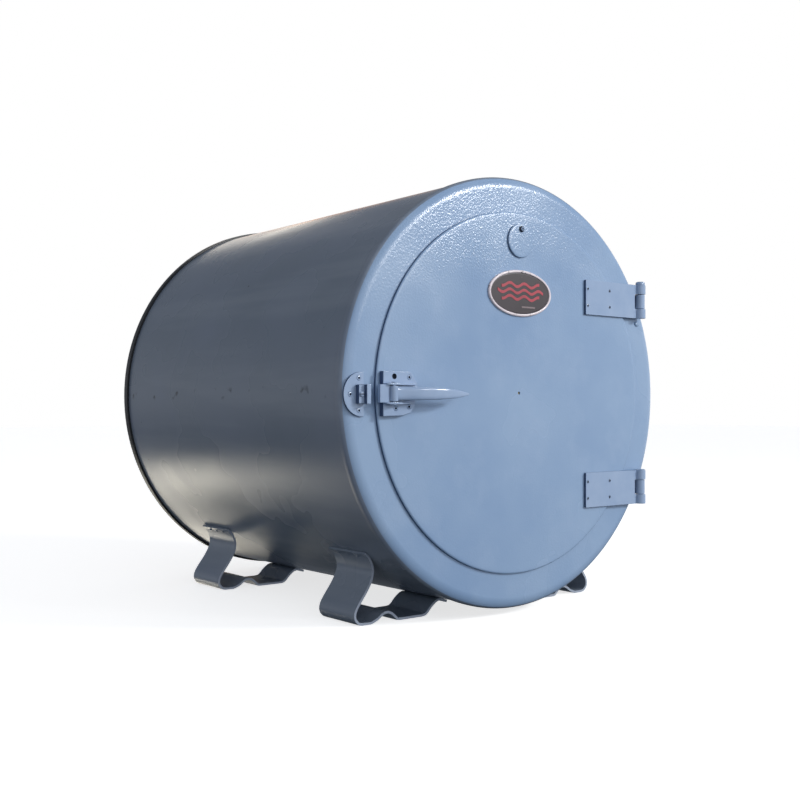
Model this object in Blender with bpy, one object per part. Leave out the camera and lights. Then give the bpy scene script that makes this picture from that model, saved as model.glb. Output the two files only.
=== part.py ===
# Bench oven that keeps welding electrodes dry: a drum lying on four strap feet, with a plug door.
# Metres, +Z up. X runs left to right, the door faces -Y, and the feet stand on Z = 0.
from math import cos, pi, radians, sin, sqrt

import bmesh
import bpy
from mathutils import Matrix, Vector

MM = 0.001
GAP = 0.3 * MM                     # left between pieces that touch

# Driving dimensions
DRUM_RADIUS = 279.4 * MM           # 22 inch drum
DRUM_LENGTH = 585.0 * MM           # 23 inch, front face to rear edge
AXIS_HEIGHT = 288.5 * MM           # drum axis above the ground
SHEET = 1.5 * MM
THIN_SHEET = 1.2 * MM
CHAMBER_RADIUS = 216.8 * MM
CHAMBER_DEPTH = 511.0 * MM
DOOR_RADIUS = 233.8 * MM
DOOR_PROUD = 4.2 * MM              # door face ahead of the ring face
PLUG_DEPTH = 50.5 * MM
HANDLE_REACH = 34.3 * MM           # latch handle's highest point ahead of the ring face
KNOB_END = 650.0 * MM              # back of the thermostat knob, from the ring face
FRONT = -(KNOB_END - HANDLE_REACH) / 2   # ring face's Y, which centres the oven on the origin

HINGE_X, HINGE_Y = 238.0 * MM, -8.4 * MM
HINGE_HEIGHTS = {"upper": 132.4 * MM, "lower": -131.6 * MM}
HINGE_HALF = 23.8 * MM             # half the leaf's height, 47.6 mm in all
KNUCKLE_RADIUS = 7.5 * MM
MIDDLE_HALF = 10.3 * MM            # half the middle knuckle
PIN_RADIUS = 3.1 * MM

LATCH_HEIGHT = -3.0 * MM
PIVOT_X, PIVOT_Y = -218.5 * MM, -18.0 * MM
CHANNEL_HALF = 8.1 * MM            # the bolt's channel in the latch base

VENT_SCREW = (0.5 * MM, 212.2 * MM)
VENT_HEIGHT = 197.0 * MM
VENT_RADIUS = 22.0 * MM
PLATE_HEIGHT = 129.0 * MM

FOOT_WIDTH = 76.2 * MM             # 3 inch strap
FOOT_SHEET = 3.2 * MM
FOOT_STARTS = {"front": 68.5 * MM, "rear": 408.0 * MM}

SHELF_HEIGHTS = {"lower": -120 * MM, "middle": -20 * MM, "upper": 80 * MM}
SHELF_FRONT, SHELF_BACK = 60 * MM, 497 * MM
WALL = 216.0 * MM                  # radius that chamber fittings keep inside
ELEMENT_HEIGHT = -165 * MM
ELEMENT_RUNS = (90 * MM, 30 * MM)  # the tube's four runs lie at plus and minus these
BULB_HEIGHT, CAPILLARY_X = -65 * MM, 50 * MM

BOX_LOW, BOX_HIGH, BOX_HALF = -150 * MM, -40 * MM, 80 * MM
BOX_BACK = 630 * MM
CONTROL_HEIGHT = -95 * MM
LAMP_X, GLAND_X = 52 * MM, -50 * MM

OUTER_SIDES, INNER_SIDES = 72, 48

# name: sRGB colour, metallic, roughness
FINISHES = {
    "blue_grey_enamel": ((0.53, 0.63, 0.74), 0.0, 0.35),
    "slate_enamel": ((0.36, 0.40, 0.46), 0.0, 0.45),
    "black_enamel": ((0.07, 0.08, 0.09), 0.0, 0.5),
    "galvanised_sheet": ((0.62, 0.64, 0.66), 1.0, 0.45),
    "mineral_wool": ((0.78, 0.72, 0.55), 0.0, 0.95),
    "glass_tape": ((0.86, 0.84, 0.78), 0.0, 0.9),
    "element_sheath": ((0.30, 0.28, 0.27), 1.0, 0.5),
    "hardware_enamel": ((0.57, 0.66, 0.78), 0.0, 0.3),
    "spring_steel": ((0.55, 0.56, 0.58), 1.0, 0.3),
    "badge_rim": ((0.88, 0.84, 0.84), 1.0, 0.25),
    "badge_face": ((0.10, 0.05, 0.06), 0.0, 0.3),
    "black_phenolic": ((0.05, 0.05, 0.05), 0.0, 0.4),
    "dial_aluminium": ((0.78, 0.79, 0.80), 1.0, 0.35),
    "amber_lens": ((0.85, 0.35, 0.06), 0.0, 0.15),
    "glass_sleeving": ((0.80, 0.78, 0.70), 0.0, 0.8),
    "copper_tube": ((0.72, 0.45, 0.33), 1.0, 0.35),
}


def linear(channel):
    return channel / 12.92 if channel <= 0.04045 else ((channel + 0.055) / 1.055) ** 2.4


def material(name):
    found = bpy.data.materials.get(name)
    if found:
        return found
    colour, metallic, roughness = FINISHES[name]
    made = bpy.data.materials.new(name)
    made.use_nodes = True
    shader = made.node_tree.nodes["Principled BSDF"]
    shader.inputs["Base Color"].default_value = (*map(linear, colour), 1)
    shader.inputs["Metallic"].default_value = metallic
    shader.inputs["Roughness"].default_value = roughness
    made.diffuse_color = (*colour, 1)
    return made


# Shapes are given from the middle of the ring's face, and placed by this.
PLACE = Matrix.Translation((0, FRONT, AXIS_HEIGHT))


def make_object(name, finish, bm):
    bmesh.ops.remove_doubles(bm, verts=bm.verts, dist=1e-6)
    bmesh.ops.recalc_face_normals(bm, faces=bm.faces)
    bm.transform(PLACE)
    mesh = bpy.data.meshes.new(name)
    bm.to_mesh(mesh)
    bm.free()
    mesh.shade_smooth()
    mesh.set_sharp_from_angle(angle=radians(32))
    mesh.materials.append(material(finish))
    made = bpy.data.objects.new(name, mesh)
    bpy.context.scene.collection.objects.link(made)
    return made


def revolve(name, finish, profile, along="Y", centre=(0, 0, 0), sides=INNER_SIDES):
    """Spins (radius, distance along the axis) points into a closed body."""
    axis = Vector((0, 1, 0)) if along == "Y" else Vector((0, 0, 1))
    out = Vector((1, 0, 0))
    bm = bmesh.new()
    verts = [bm.verts.new(out * r + axis * d) for r, d in profile]
    edges = [bm.edges.new(pair) for pair in zip(verts, verts[1:])]
    if profile[0][0] > 1e-7 or profile[-1][0] > 1e-7:
        edges.append(bm.edges.new((verts[-1], verts[0])))
    bmesh.ops.spin(bm, geom=verts + edges, cent=(0, 0, 0), axis=axis, angle=2 * pi,
                   steps=sides, use_merge=True)
    bm.transform(Matrix.Translation(centre))
    return make_object(name, finish, bm)


def loft(name, finish, loops, closed=False):
    """Bridges loops of equal length, then caps the two ends, or joins them when closed."""
    bm = bmesh.new()
    rings = [[bm.verts.new(point) for point in loop] for loop in loops]
    pairs = list(zip(rings, rings[1:])) + ([(rings[-1], rings[0])] if closed else [])
    for one, other in pairs:
        for i in range(len(one)):
            j = (i + 1) % len(one)
            bm.faces.new((one[i], one[j], other[j], other[i]))
    if not closed:
        bm.faces.new(rings[0])
        bm.faces.new(rings[-1])
    return make_object(name, finish, bm)


def plate(name, finish, outline, front, back):
    """An (X, Z) outline with its faces at Y = front and Y = back."""
    return loft(name, finish, [[(x, y, z) for x, z in outline] for y in (front, back)])


def box(name, finish, low, high):
    (x0, y0, z0), (x1, y1, z1) = low, high
    return plate(name, finish, [(x0, z0), (x1, z0), (x1, z1), (x0, z1)], y0, y1)


def arc(centre, radius, start, end, steps):
    """Points on an arc from start to end degrees, both included."""
    angles = [radians(start + (end - start) * i / steps) for i in range(steps + 1)]
    return [(centre[0] + radius * cos(a), centre[1] + radius * sin(a)) for a in angles]


def ellipse(half_x, half_z, y, height, sides):
    return [(half_x * cos(2 * pi * i / sides), y, height + half_z * sin(2 * pi * i / sides))
            for i in range(sides)]


def rounded(half_x, half_z, radius, steps=2):
    """A rectangle about the origin with round corners."""
    corners = []
    for sx, sz, turn in ((1, 1, 0), (-1, 1, 90), (-1, -1, 180), (1, -1, 270)):
        middle = (sx * (half_x - radius), sz * (half_z - radius))
        corners += arc(middle, radius, turn, turn + 90, steps)
    return corners


def helper(made):
    made.hide_render = True
    made.display_type = "WIRE"
    return made


def boolean(target, other, operation):
    modifier = target.modifiers.new(f"{operation} {other.name}".lower(), "BOOLEAN")
    modifier.operation = operation
    modifier.solver = "EXACT"
    modifier.object = helper(other)


def cut(target, *cutters):
    for cutter in cutters:
        boolean(target, cutter, "DIFFERENCE")


def join(target, *others):
    for other in others:
        boolean(target, other, "UNION")


def drill(name, radius, along, centre, reach, sides=12):
    profile = [(0, -reach), (radius, -reach), (radius, reach), (0, reach)]
    return revolve(name, "black_enamel", profile, along, centre, sides)


def tube(name, finish, points, radius, widths=None):
    """A round rod with eight sides along the points, as a curve with a bevel and filled ends."""
    data = bpy.data.curves.new(name, "CURVE")
    data.dimensions = "3D"
    data.bevel_depth = radius
    data.bevel_resolution = 2
    data.use_fill_caps = True
    spline = data.splines.new("POLY")
    spline.points.add(len(points) - 1)
    for i, point in enumerate(points):
        spline.points[i].co = (*(PLACE @ Vector(point)), 1)
        spline.points[i].radius = widths[i] if widths else 1
    data.materials.append(material(finish))
    made = bpy.data.objects.new(name, data)
    bpy.context.scene.collection.objects.link(made)
    return made


def smooth_path(points, steps):
    """Catmull-Rom curve through the points."""
    ends = [points[0] * 2 - points[1]] + points + [points[-1] * 2 - points[-2]]
    path = []
    for a, b, c, d in zip(ends, ends[1:], ends[2:], ends[3:]):
        for i in range(steps):
            t = i / steps
            path.append(0.5 * (2 * b + (c - a) * t + (2 * a - 5 * b + 4 * c - d) * t * t
                               + (3 * b - a - 3 * c + d) * t ** 3))
    return path + [points[-1]]


def chord(height, radius=WALL):
    return sqrt(radius * radius - height * height)


# Drum

def make_drum():
    r = DRUM_RADIUS
    bend = 7 * MM                  # outer corner of the ring
    outer = [(r - bend + x, bend - y) for x, y in arc((0, 0), bend, 90, 0, 3)]
    inner = [(r - bend + x, bend - y) for x, y in arc((0, 0), bend - SHEET, 0, 90, 3)]
    lip = 218.5 * MM
    ring = [(lip, 16 * MM), (lip, SHEET), (lip + SHEET, 0), *outer, (r, 11 * MM), (r - SHEET, 11 * MM),
            *inner, (lip + SHEET, SHEET), (lip + SHEET, 16 * MM)]
    revolve("front_ring", "blue_grey_enamel", ring, sides=OUTER_SIDES)

    shell = r - SHEET - GAP
    revolve("drum_shell", "slate_enamel",
            [(shell, 7.5 * MM), (shell, DRUM_LENGTH - 2 * MM), (shell - SHEET, DRUM_LENGTH - 2 * MM),
             (shell - SHEET, 7.5 * MM)], sides=OUTER_SIDES)

    rim, back, face = r + 1.4 * MM, DRUM_LENGTH, DRUM_LENGTH - 1.6 * MM
    cover = revolve("rear_cover", "black_enamel",
                    [(0, back), (rim - SHEET, back), (rim, back - SHEET), (rim, back - 12 * MM),
                     (r - SHEET, back - 12 * MM), (r - SHEET, face), (0, face)], sides=OUTER_SIDES)
    cut(cover, box("cover_opening", "black_enamel", (-60 * MM, back - 20 * MM, -130 * MM),
                   (60 * MM, back + 20 * MM, -58 * MM)))

    c = CHAMBER_RADIUS
    revolve("chamber_liner", "galvanised_sheet",
            [(c, 3 * MM), (c + THIN_SHEET, 3 * MM), (c + THIN_SHEET, CHAMBER_DEPTH), (c, CHAMBER_DEPTH)])
    end = CHAMBER_DEPTH + GAP
    panel = revolve("liner_rear_panel", "galvanised_sheet",
                    [(0, end), (c + THIN_SHEET, end), (c + THIN_SHEET, end + THIN_SHEET),
                     (0, end + THIN_SHEET)])
    revolve("shell_insulation", "mineral_wool",
            [(221 * MM, 8 * MM), (275.4 * MM, 8 * MM), (275.4 * MM, 560 * MM), (221 * MM, 560 * MM)])
    pad_start = end + THIN_SHEET + GAP
    pad = revolve("rear_insulation", "mineral_wool",
                  [(0, pad_start), (219.5 * MM, pad_start), (219.5 * MM, 560 * MM), (0, 560 * MM)])
    holes = [("element_hole_left", 4.8 * MM, -ELEMENT_RUNS[0], ELEMENT_HEIGHT),
             ("element_hole_right", 4.8 * MM, ELEMENT_RUNS[0], ELEMENT_HEIGHT),
             ("capillary_hole", 1.8 * MM, CAPILLARY_X, BULB_HEIGHT)]
    for name, radius, x, z in holes:
        hole = drill(name, radius, "Y", (x, CHAMBER_DEPTH, z), 100 * MM)
        cut(panel, hole)
        cut(pad, hole)


# Chamber fittings

def make_shelves():
    for level, height in SHELF_HEIGHTS.items():
        low, high = height - 12 * MM, height + 11 * MM
        half = chord(max(abs(low), abs(high)))
        tray, side = half - 2 * MM, 10 * MM
        outline = [(-tray, height + side), (-tray, height), (tray, height), (tray, height + side),
                   (tray - THIN_SHEET, height + side), (tray - THIN_SHEET, height + THIN_SHEET),
                   (-tray + THIN_SHEET, height + THIN_SHEET), (-tray + THIN_SHEET, height + side)]
        plate(f"rod_shelf_{level}", "galvanised_sheet", outline, SHELF_FRONT, SHELF_BACK)
        top = height - GAP
        for side_name, sign in (("left", -1), ("right", 1)):
            angle = [(half, top), (half, top - 11 * MM), (half - SHEET, top - 11 * MM),
                     (half - SHEET, top - SHEET), (half - 15 * MM, top - SHEET), (half - 15 * MM, top)]
            plate(f"shelf_rail_{level}_{side_name}", "galvanised_sheet",
                  [(sign * x, z) for x, z in angle], SHELF_FRONT + 5 * MM, SHELF_BACK - 7 * MM)


def make_heater():
    outer, inner = ELEMENT_RUNS
    radius = (outer - inner) / 2
    front, back, exit_y = 130 * MM, 450 * MM, 572 * MM
    bend = [(x - (outer + inner) / 2, front - y) for x, y in arc((0, 0), radius, 180, 0, 6)]
    middle = [(x, back + y) for x, y in arc((0, 0), inner, 180, 0, 6)]
    path = [(-outer, exit_y), (-outer, 300 * MM), *bend, *middle]
    path += [(x + outer + inner, y) for x, y in bend] + [(outer, 300 * MM), (outer, exit_y)]
    tube("heating_element", "element_sheath", [(x, y, ELEMENT_HEIGHT) for x, y in path], 4 * MM)
    top = ELEMENT_HEIGHT - 4 * MM - GAP
    for place, y in (("front", 150 * MM), ("rear", 430 * MM)):
        strip = [(-110, 0), (110, 0), (110, -15), (102, -19.5), (102, -8), (-102, -8), (-102, -19.5),
                 (-110, -15)]
        plate(f"element_support_{place}", "galvanised_sheet",
              [(x * MM, top + z * MM) for x, z in strip], y, y + SHEET)


# Controls behind the rear cover

def make_controls():
    base, back = DRUM_LENGTH + GAP, BOX_BACK
    middle = (BOX_LOW + BOX_HIGH) / 2
    half = (BOX_HIGH - BOX_LOW) / 2

    def loop(y, x_half, z_half, radius):
        return [(x, y, middle + z) for x, z in rounded(x_half, z_half, radius)]

    wall = THIN_SHEET
    flange = 12 * MM
    case = loft("control_box", "slate_enamel", [
        loop(back, BOX_HALF - 3 * MM, half - 3 * MM, 5 * MM), loop(back - 3 * MM, BOX_HALF, half, 6 * MM),
        loop(base + wall, BOX_HALF, half, 6 * MM), loop(base + wall, BOX_HALF + flange, half + flange, 9 * MM),
        loop(base, BOX_HALF + flange, half + flange, 9 * MM), loop(base, BOX_HALF - wall, half - wall, 5 * MM),
        loop(back - wall, BOX_HALF - wall, half - wall, 5 * MM)])
    gland_y = 608 * MM
    cut(case, drill("shaft_hole", 4.5 * MM, "Y", (0, back, CONTROL_HEIGHT), 9 * MM),
        drill("lamp_hole", 6.1 * MM, "Y", (LAMP_X, back, CONTROL_HEIGHT), 9 * MM),
        drill("gland_hole", 6.4 * MM, "Z", (GLAND_X, gland_y, BOX_LOW), 9 * MM))

    body = box("thermostat_body", "black_phenolic", (-22 * MM, 596 * MM, CONTROL_HEIGHT - 22 * MM),
               (22 * MM, back - wall - GAP, CONTROL_HEIGHT + 22 * MM))
    join(body, drill("thermostat_shaft", 3 * MM, "Y", (0, 632 * MM, CONTROL_HEIGHT), 13 * MM))
    revolve("dial_plate", "dial_aluminium",
            [(5.2 * MM, back + GAP), (31 * MM, back + GAP), (31 * MM, back + 1.1 * MM),
             (5.2 * MM, back + 1.1 * MM)], centre=(0, 0, CONTROL_HEIGHT), sides=40)
    skirt = back + 1.6 * MM
    knob = revolve("thermostat_knob", "black_phenolic",
                   [(0, 645.6 * MM), (3.4 * MM, 645.6 * MM), (3.4 * MM, skirt), (21 * MM, skirt),
                    (21 * MM, skirt + 4 * MM), (16.5 * MM, skirt + 5 * MM),
                    (15.5 * MM, KNOB_END - 1.5 * MM), (14 * MM, KNOB_END), (0, KNOB_END)],
                   centre=(0, 0, CONTROL_HEIGHT), sides=24)
    hub(knob, "knob_axis", (0, KNOB_END, CONTROL_HEIGHT))

    revolve("pilot_light", "amber_lens",
            [(0, 612 * MM), (5.6 * MM, 612 * MM), (5.6 * MM, back + GAP), (8.5 * MM, back + GAP),
             (8.5 * MM, back + 2.5 * MM), (6.5 * MM, back + 3 * MM), (5.5 * MM, back + 6.5 * MM),
             (3 * MM, back + 8.2 * MM), (0, back + 8.8 * MM)],
            centre=(LAMP_X, 0, CONTROL_HEIGHT), sides=16)
    revolve("cord_gland", "black_phenolic",
            [(4 * MM, 6 * MM), (5.9 * MM, 6 * MM), (5.9 * MM, -GAP), (11 * MM, -GAP), (11 * MM, -7 * MM),
             (8.8 * MM, -8 * MM), (7.6 * MM, -18 * MM), (5.5 * MM, -20 * MM), (4 * MM, -20 * MM)],
            "Z", (GLAND_X, gland_y, BOX_LOW), 16)
    block = box("terminal_block", "black_phenolic", (-14 * MM, 598 * MM, -70 * MM),
                (34 * MM, 612 * MM, -54 * MM))
    for i in range(3):
        x = (-7 + 17 * i) * MM
        cut(block, box(f"terminal_slot_{i}", "black_enamel", (x - 5 * MM, 606 * MM, -74 * MM),
                       (x + 5 * MM, 620 * MM, -50 * MM)))

    bulb = [(-55, 503, 0), (-52, 503, 0), (24, 503, 0), (27, 503, 0), (42, 503, 0), (48, 505, 0),
            (50, 510, 0), (50, 560, 0), (50, 602, 0), (47, 610, -2), (40, 613, -8), (30, 614, -18),
            (22.4, 614, -21)]
    widths = [3.2, 4.5, 4.5, 1.1] + [1.1] * (len(bulb) - 4)
    tube("thermostat_bulb", "copper_tube",
         [(x * MM, y * MM, BULB_HEIGHT + z * MM) for x, y, z in bulb], MM, widths=widths)

    lead = [Vector(p) * MM for p in ((90, 572.4, -165), (90, 576, -163), (85, 576, -150), (72, 576, -134),
                                     (58, 579, -122), (50, 592, -114), (42, 603, -106), (30, 607, -102),
                                     (22.4, 607, -101))]
    for side, sign in (("left", -1), ("right", 1)):
        path = smooth_path([Vector((sign * p.x, p.y, p.z)) for p in lead], 2)
        tube(f"heater_lead_{side}", "glass_sleeving", path, 1.5 * MM)


# Feet

def make_feet():
    tab = DRUM_RADIUS + 2.0 * MM   # outer face of the strap where it lies on the shell
    def on_shell(degrees):
        return (tab * sin(radians(degrees)), -tab * cos(radians(degrees)))
    ground = -AXIS_HEIGHT
    bends = [(184.5 * MM, -221.5 * MM), (187.5 * MM, -234 * MM), (195 * MM, -246.5 * MM),
             (204 * MM, -258.5 * MM), (211 * MM, -269.5 * MM), (211.8 * MM, -279.5 * MM)]
    sole = [(205.5 * MM, ground + 1.6 * MM), (197 * MM, ground), (186 * MM, ground)]
    arch = [(175 * MM, -284.5 * MM), (168 * MM, -279.8 * MM), (161 * MM, -277.6 * MM),
            (154 * MM, -279.8 * MM), (147 * MM, -285.6 * MM)]
    pad = [(140 * MM, ground), (104 * MM, ground)]
    rise = [(94.5 * MM, -285.4 * MM), (87 * MM, -278 * MM)]
    face = ([on_shell(44.5), on_shell(42.4)] + bends + sole + arch + pad + rise
            + [on_shell(15.6), on_shell(12.7)])
    outer = smooth_path([Vector((x, 0, z)) for x, z in face], 2)
    for point in outer:
        point.z = max(point.z, ground)
    inner = []
    for i, point in enumerate(outer):
        run = outer[min(i + 1, len(outer) - 1)] - outer[max(i - 1, 0)]
        inner.append(point + Vector((run.z, 0, -run.x)).normalized() * FOOT_SHEET)
    outline = [(p.x, p.z) for p in outer + inner[::-1]]
    for end, start in FOOT_STARTS.items():
        for side, sign in (("left", -1), ("right", 1)):
            plate(f"foot_{end}_{side}", "slate_enamel", [(sign * x, z) for x, z in outline],
                  start, start + FOOT_WIDTH)


# Door

def hub(piece, name, centre):
    """Hangs a moving piece from an empty on its joint's axis."""
    axis = bpy.data.objects.get(name)
    if not axis:
        axis = bpy.data.objects.new(name, None)
        axis.matrix_world = PLACE @ Matrix.Translation(centre)
        bpy.context.scene.collection.objects.link(axis)
    bpy.context.view_layer.update()
    piece.parent = axis
    piece.matrix_parent_inverse = axis.matrix_world.inverted()


def on_door(piece):
    hub(piece, "door_axis", (HINGE_X, HINGE_Y, 0))
    return piece


def make_door():
    r, face = DOOR_RADIUS, -DOOR_PROUD
    skin = on_door(revolve("door_skin", "blue_grey_enamel", [
        (0, face), (r - 2.6 * MM, face), (r - 0.8 * MM, face + 0.7 * MM), (r, face + 2.4 * MM),
        (r, -0.5 * MM), (r - SHEET, -0.5 * MM), (r - SHEET, face + 2.4 * MM), (r - 2.6 * MM, face + SHEET),
        (0, face + SHEET)], sides=OUTER_SIDES))
    back = face + SHEET + GAP
    cut(skin, drill("vent_hole", 9 * MM, "Y", (0, 0, 195 * MM), 20 * MM, 16),
        drill("vent_screw_hole", 2.9 * MM, "Y", (VENT_SCREW[0], 0, VENT_SCREW[1]), 20 * MM, 8),
        drill("middle_hole", 2 * MM, "Y", (-0.8 * MM, 0, 0), 20 * MM, 8))

    front_wall, rear_wall, depth = 215.2 * MM, 211.5 * MM, PLUG_DEPTH
    pan = on_door(revolve("door_plug_pan", "galvanised_sheet", [
        (0, depth), (208.5 * MM, depth), (rear_wall, depth - 3 * MM), (front_wall, -THIN_SHEET),
        (219.5 * MM, -THIN_SHEET), (219.5 * MM, back), (front_wall - THIN_SHEET, back),
        (rear_wall - THIN_SHEET, depth - 3.6 * MM), (207.8 * MM, depth - THIN_SHEET),
        (0, depth - THIN_SHEET)]))
    wool = on_door(revolve("door_insulation", "mineral_wool", [
        (0, back), (front_wall - 1.8 * MM, back), (rear_wall - 1.9 * MM, depth - 4.4 * MM),
        (206.9 * MM, depth - 1.7 * MM), (0, depth - 1.7 * MM)]))
    vent = drill("vent_way", 10.3 * MM, "Y", (0, 20 * MM, 195 * MM), 60 * MM, 16)
    cut(pan, vent)
    cut(wool, vent)
    on_door(revolve("vent_tube", "galvanised_sheet",
                    [(8.6 * MM, back), (9.8 * MM, back), (9.8 * MM, depth + MM), (8.6 * MM, depth + MM)],
                    centre=(0, 0, 195 * MM), sides=16))
    on_door(revolve("door_gasket", "glass_tape", [
        (221 * MM, back), (230 * MM, back), (230 * MM, -GAP), (221 * MM, -GAP)]))

    shutter = revolve("vent_shutter", "blue_grey_enamel", [
        (0, face - 3 * MM), (VENT_RADIUS - MM, face - 3 * MM), (VENT_RADIUS, face - 2 * MM),
        (VENT_RADIUS, face - GAP), (0, face - GAP)], centre=(0, 0, VENT_HEIGHT), sides=32)
    cut(shutter, drill("shutter_hole", 2.9 * MM, "Y", (VENT_SCREW[0], 0, VENT_SCREW[1]), 20 * MM, 8))
    hub(shutter, "vent_axis", (VENT_SCREW[0], face, VENT_SCREW[1]))
    head = face - 3 * MM - GAP
    on_door(revolve("vent_screw", "hardware_enamel", [
        (0, face + SHEET), (2.4 * MM, face + SHEET), (2.4 * MM, head), (4 * MM, head),
        (4 * MM, head - 1.2 * MM),
        (2.6 * MM, head - 2.2 * MM), (0, head - 2.6 * MM)],
        centre=(VENT_SCREW[0], 0, VENT_SCREW[1]), sides=12))


def make_nameplate():
    back, sides = -DOOR_PROUD - GAP, 32
    rim_front, rim_outer, rim_inner = back - 2.7 * MM, (56.5 * MM, 30.2 * MM), (52.6 * MM, 26.3 * MM)

    def loop(half, y):
        return ellipse(*half, y, PLATE_HEIGHT, sides)

    lip = tuple(side - MM for side in rim_outer)
    on_door(loft("nameplate_rim", "badge_rim", [
        loop(rim_outer, back), loop(rim_outer, rim_front + MM), loop(lip, rim_front),
        loop(rim_inner, rim_front), loop(rim_inner, back)], closed=True))
    inside = tuple(side - GAP for side in rim_inner)
    on_door(loft("nameplate_face", "badge_face", [loop(inside, back), loop(inside, back - 1.8 * MM)]))


def make_hinges():
    leaf_left, leaf_right = 123.8 * MM, 232 * MM
    leaf_back, leaf_front = -DOOR_PROUD - GAP, -8 * MM
    bore = PIN_RADIUS + GAP
    for level, height in HINGE_HEIGHTS.items():
        centre = (HINGE_X, HINGE_Y, height)

        def knuckle(name, low, high):
            return revolve(f"{name}_{level}", "hardware_enamel",
                           [(0, low), (KNUCKLE_RADIUS, low), (KNUCKLE_RADIUS, high), (0, high)],
                           "Z", centre, 20)

        middle, half = (leaf_left + leaf_right) / 2, HINGE_HALF
        outline = [(middle + x, height + z) for x, z in rounded((leaf_right - leaf_left) / 2, half, 1.5 * MM)]
        leaf = on_door(plate(f"hinge_door_leaf_{level}", "hardware_enamel", outline, leaf_front, leaf_back))
        join(leaf, knuckle("top_knuckle", MIDDLE_HALF, half), knuckle("bottom_knuckle", -half, -MIDDLE_HALF))
        notch = [(240 * MM + x, height + z) for x, z in rounded(11.5 * MM, MIDDLE_HALF + GAP, 2.5 * MM)]
        cut(leaf, plate(f"notch_{level}", "black_enamel", notch, -20 * MM, 5 * MM),
            drill(f"leaf_bore_{level}", bore, "Z", centre, 40 * MM))

        ring_leaf = box(f"hinge_frame_leaf_{level}", "hardware_enamel", (204 * MM, -3.6 * MM, height - 15 * MM),
                        (230.5 * MM, -0.4 * MM, height + 15 * MM))
        neck = box(f"leaf_neck_{level}", "hardware_enamel", (228 * MM, -3.6 * MM, height - MIDDLE_HALF + GAP),
                   (HINGE_X, -0.4 * MM, height + MIDDLE_HALF - GAP))
        eye = knuckle("middle_knuckle", -MIDDLE_HALF + GAP, MIDDLE_HALF - GAP)
        join(ring_leaf, neck, eye)
        cut(ring_leaf, drill(f"frame_bore_{level}", bore, "Z", centre, 40 * MM))

        cap = 4.6 * MM if level == "upper" else 1.2 * MM
        top = half + GAP
        revolve(f"hinge_pin_{level}", "hardware_enamel", [
            (0, -half), (PIN_RADIUS, -half), (PIN_RADIUS, top), (6.6 * MM, top),
            (6.6 * MM, top + cap * 0.6), (4.5 * MM, top + cap), (0, top + cap)], "Z", centre, 12)


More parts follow.
